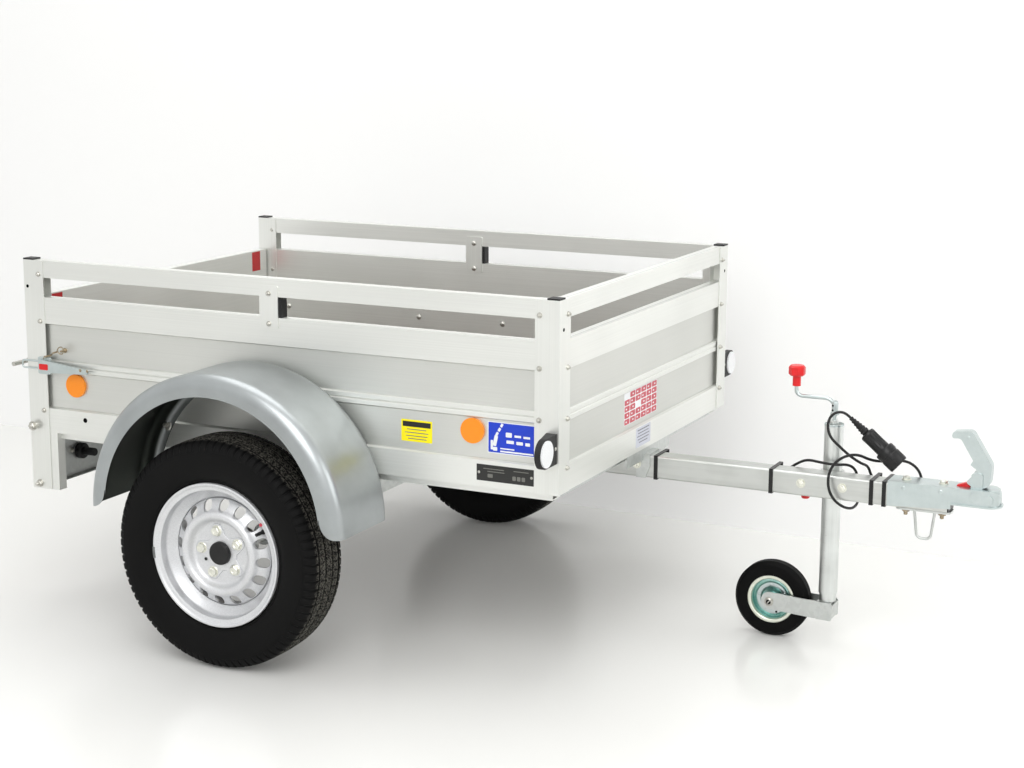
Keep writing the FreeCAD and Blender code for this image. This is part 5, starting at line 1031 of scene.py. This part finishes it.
labelSheets = {
    # on the side or the nose: how far out, from and to along it and in height, corner, thickness, film
    "yellow": ("side", 0.5685, (-0.086, -0.001), (0.571, 0.625), 0.002, 0.0003, 0),
    "yellowHead": ("side", 0.5688, (-0.082, -0.005), (0.6075, 0.6205), 0.0005, 0.00015, 1),
    "blueEdge": ("side", 0.5685, (0.149, 0.273), (0.566, 0.643), 0.0015, 0.0003, 3),
    "blue": ("side", 0.5688, (0.151, 0.271), (0.568, 0.641), 0.001, 0.00015, 2),
    "plate": ("side", 0.5775, (0.124, 0.275), (0.498, 0.538), 0.001, 0.0006, 4),
    "warning": ("nose", 0.3275, (-0.151, 0.073), (0.563, 0.647), 0.001, 0.0003, 3),
    "grey": ("nose", 0.3365, (-0.090, 0.010), (0.494, 0.545), 0.001, 0.0003, 6),
}
labelMarks = {
    # how far out and which ink, then shapes for pictures and lines: shares across and up, width, height, lean
    "blueEdge": (0.0007, 3, [
        (0.30, 0.90, 0.05, 0.12, -30), (0.25, 0.76, 0.05, 0.12, -30), (0.20, 0.62, 0.05, 0.12, -30),
        (0.165, 0.40, 0.075, 0.34, -12), (0.09, 0.26, 0.05, 0.30, 0), (0.16, 0.14, 0.09, 0.12, 0),
        (0.45, 0.62, 0.13, 0.15, 0), (0.64, 0.60, 0.14, 0.07, 0), (0.83, 0.59, 0.14, 0.07, 0),
        (0.48, 0.40, 0.16, 0.10, 0), (0.68, 0.39, 0.14, 0.10, 0), (0.85, 0.38, 0.10, 0.10, 0),
        (0.42, 0.17, 0.30, 0.04, 0), (0.62, 0.08, 0.70, 0.05, 0)]),
    "yellow": (0.0004, 8, [(0.50, 0.56, 0.62, 0.035, 0), (0.50, 0.41, 0.76, 0.035, 0), (0.50, 0.26, 0.70, 0.035, 0),
                           (0.52, 0.13, 0.60, 0.035, 0)]),
    "plate": (0.0007, 7, [(0.30, 0.76, 0.36, 0.05, 0), (0.78, 0.78, 0.26, 0.05, 0), (0.34, 0.60, 0.30, 0.05, 0),
                          (0.24, 0.34, 0.09, 0.22, 0), (0.66, 0.34, 0.06, 0.26, 0), (0.74, 0.34, 0.06, 0.26, 0),
                          (0.82, 0.34, 0.06, 0.26, 0)]),
    "grey": (0.0004, 8, [(0.5, 0.86, 0.80, 0.06, 0), (0.5, 0.70, 0.72, 0.05, 0), (0.5, 0.54, 0.84, 0.05, 0),
                         (0.5, 0.38, 0.76, 0.05, 0), (0.5, 0.22, 0.60, 0.05, 0)]),
}
labelGrid = {
    "across": 6, "rows": 5, "blank": ((0, 4), (2, 2)),
    "block": (0.90, 0.84), "blockLift": 0.0004, "blockInk": 5,
    "speck": 0.22, "speckPlace": (0.36, 0.56), "speckLift": 0.0006, "speckInk": 3,
}
inkLayer = {"corner": 0.2, "thick": 0.0001}
plateRivets = {"inset": 0.006, "radius": 0.0035, "height": 0.0016}
labelFilms = ["yellowFilm", "blackFilm", "blueFilm", "whiteFilm", "platePaint", "redFilm", "greyFilm", "plateInk",
              "greyInk"]


def onSheet(name, u, v, lift=0.0):
    # a point on a sheet by its shares across and up, with the ways across, up and out of it
    where, face, (left, right), (foot, head) = labelSheets[name][:4]
    across, out = (Vector((1, 0, 0)), Vector((0, -1, 0))) if where == "side" else (Vector((0, 1, 0)), Vector((1, 0, 0)))
    up = Vector((0, 0, 1))
    place = across * (left + u * (right - left)) + up * (foot + v * (head - foot)) + out * (face + lift)
    return place, across, up, out, right - left, head - foot


def addMarks(mesh, name, lift, ink, marks):
    for u, v, wide, high, lean in marks:
        a = radians(lean)
        place, across, up, _, width, height = onSheet(name, u, v, lift)
        wide, high = wide * width, high * height
        addPlate(mesh, place, across * cos(a) + up * sin(a), up * cos(a) - across * sin(a), wide, high,
                 min(wide, high) * inkLayer["corner"], inkLayer["thick"], ink)


def makeLabels():
    mesh = bmesh.new()
    for name, (*_, corner, thick, film) in labelSheets.items():
        place, across, up, _, width, height = onSheet(name, 0.5, 0.5)
        addPlate(mesh, place, across, up, width, height, corner, thick, film)
    for name, (lift, ink, marks) in labelMarks.items():
        addMarks(mesh, name, lift, ink, marks)
    grid = labelGrid
    wide, high = 1 / grid["across"], 1 / grid["rows"]
    cells = [(i, j) for i in range(grid["across"]) for j in range(grid["rows"]) if (i, j) not in grid["blank"]]
    blocks = [((i + 0.5) * wide, (j + 0.5) * high, grid["block"][0] * wide, grid["block"][1] * high, 0)
              for i, j in cells]
    specks = [((i + grid["speckPlace"][(i + j) % 2]) * wide, (j + 0.5) * high, grid["speck"] * wide,
               grid["speck"] * high, 0) for i, j in cells]
    addMarks(mesh, "warning", grid["blockLift"], grid["blockInk"], blocks)
    addMarks(mesh, "warning", grid["speckLift"], grid["speckInk"], specks)
    makePiece("labels", mesh, labelFilms, "trailer")
    rivets = bmesh.new()
    inset = plateRivets["inset"]
    for share, move in ((0, inset), (1, -inset)):
        place, across, _, out, *_ = onSheet("plate", share, 0.5, labelSheets["plate"][5])
        addDome(rivets, place + across * move, out, plateRivets["radius"], plateRivets["height"])
    makePiece("plate_rivets", rivets, "fastener", "trailer")


makeLabels()
print("labels laid")


# stage and light

room = {
    "floor": "EAEAE7", "wall": "FCFCFB", "size": 30.0, "low": -0.0005,
    "wallFoot": ((-0.082, 1.0025), (1.149, 0.9533)), "wallHigh": 12.0,
    "floorShade": 0.95, "wallShade": 0.75, "sky": "FFFFFF", "skyStrength": 0.85,
}


def seenRays(tree):
    # one for what the camera, metal and glass see
    rays = addNode(tree, "LightPath")
    first = addNode(tree, "Math", {"operation": "MAXIMUM"}, {0: (rays, "Is Camera Ray"), 1: (rays, "Is Glossy Ray")})
    return addNode(tree, "Math", {"operation": "MAXIMUM"}, {0: (first, "Value"), 1: (rays, "Is Transmission Ray")})


def mixSurface(tree, share, under, over, output):
    mixed = addNode(tree, "MixShader", {}, {0: (share, "Value"), 1: under, 2: over})
    linkUp(tree, tree.nodes[output], {"Surface": (mixed, "Shader")})


def stageMaterial(name, colour, roughness, shade):
    # plain painted paper: pale for the camera, metal and glass, and it keeps part of the shadow
    material, tree, shader, _ = startMaterial(name, {"Base Color": colour, "Roughness": roughness})
    part = addNode(tree, "Math", {"operation": "MULTIPLY", 1: 1 - shade}, {0: (seenRays(tree), "Value")})
    glow = addNode(tree, "Emission", {"Color": colour, "Strength": 1.0})
    mixSurface(tree, part, (shader, "BSDF"), (glow, "Emission"), "Material Output")
    return material


def addStage(name, corners, material):
    mesh = bmesh.new()
    mesh.faces.new([mesh.verts.new(corner) for corner in corners])
    data = toData(name, mesh)
    data.materials.append(material)
    addObject(name, data)


def makeStage():
    half, low = room["size"] / 2, room["low"]
    addStage("floor", [(x * half, y * half, low) for x, y in ((-1, -1), (1, -1), (1, 1), (-1, 1))],
             stageMaterial("pale floor", fromHex(room["floor"]), 0.2, room["floorShade"]))
    start, stop = (Vector((*foot, low)) for foot in room["wallFoot"])
    ahead = (stop - start).normalized() * half
    up = Vector((0, 0, room["wallHigh"]))
    addStage("wall", [start - ahead, start + ahead, start + ahead + up, start - ahead + up],
             stageMaterial("white wall", fromHex(room["wall"]), 0.6, room["wallShade"]))


lamps = {
    "key": {"place": (1.2, -3.4, 3.4), "aim": (-0.4, -0.2, 0.3), "size": 2.6, "power": 80},
    "top": {"place": (-0.6, 0.6, 3.6), "aim": (-0.3, 0.0, 0.3), "size": 3.0, "power": 55},
    "nose": {"place": (4.2, -0.6, 2.2), "aim": (0.2, 0.0, 0.5), "size": 2.0, "power": 30},
}


def makeLight():
    for name, lamp in lamps.items():
        light = bpy.data.lights.new(name, "AREA")
        light.shape = "SQUARE"
        light.size = lamp["size"]
        light.energy = lamp["power"]
        holder = addObject(name + "_lamp", light)
        ahead = Vector(lamp["aim"]) - Vector(lamp["place"])
        holder.matrix_world = Matrix.Translation(lamp["place"]) @ ahead.to_track_quat("-Z", "Y").to_matrix().to_4x4()
    world = bpy.data.worlds.new("studio")
    bpy.context.scene.world = world
    world.use_nodes = True
    tree = world.node_tree
    plain = tree.nodes["Background"]
    plain.inputs["Color"].default_value = fromHex(room["sky"])
    plain.inputs["Strength"].default_value = room["skyStrength"]
    wall = addNode(tree, "Background", {"Color": fromHex(room["wall"]), "Strength": 1.0})
    mixSurface(tree, seenRays(tree), (plain, "Background"), (wall, "Background"), "World Output")


makeStage()
makeLight()
print("stage lit")
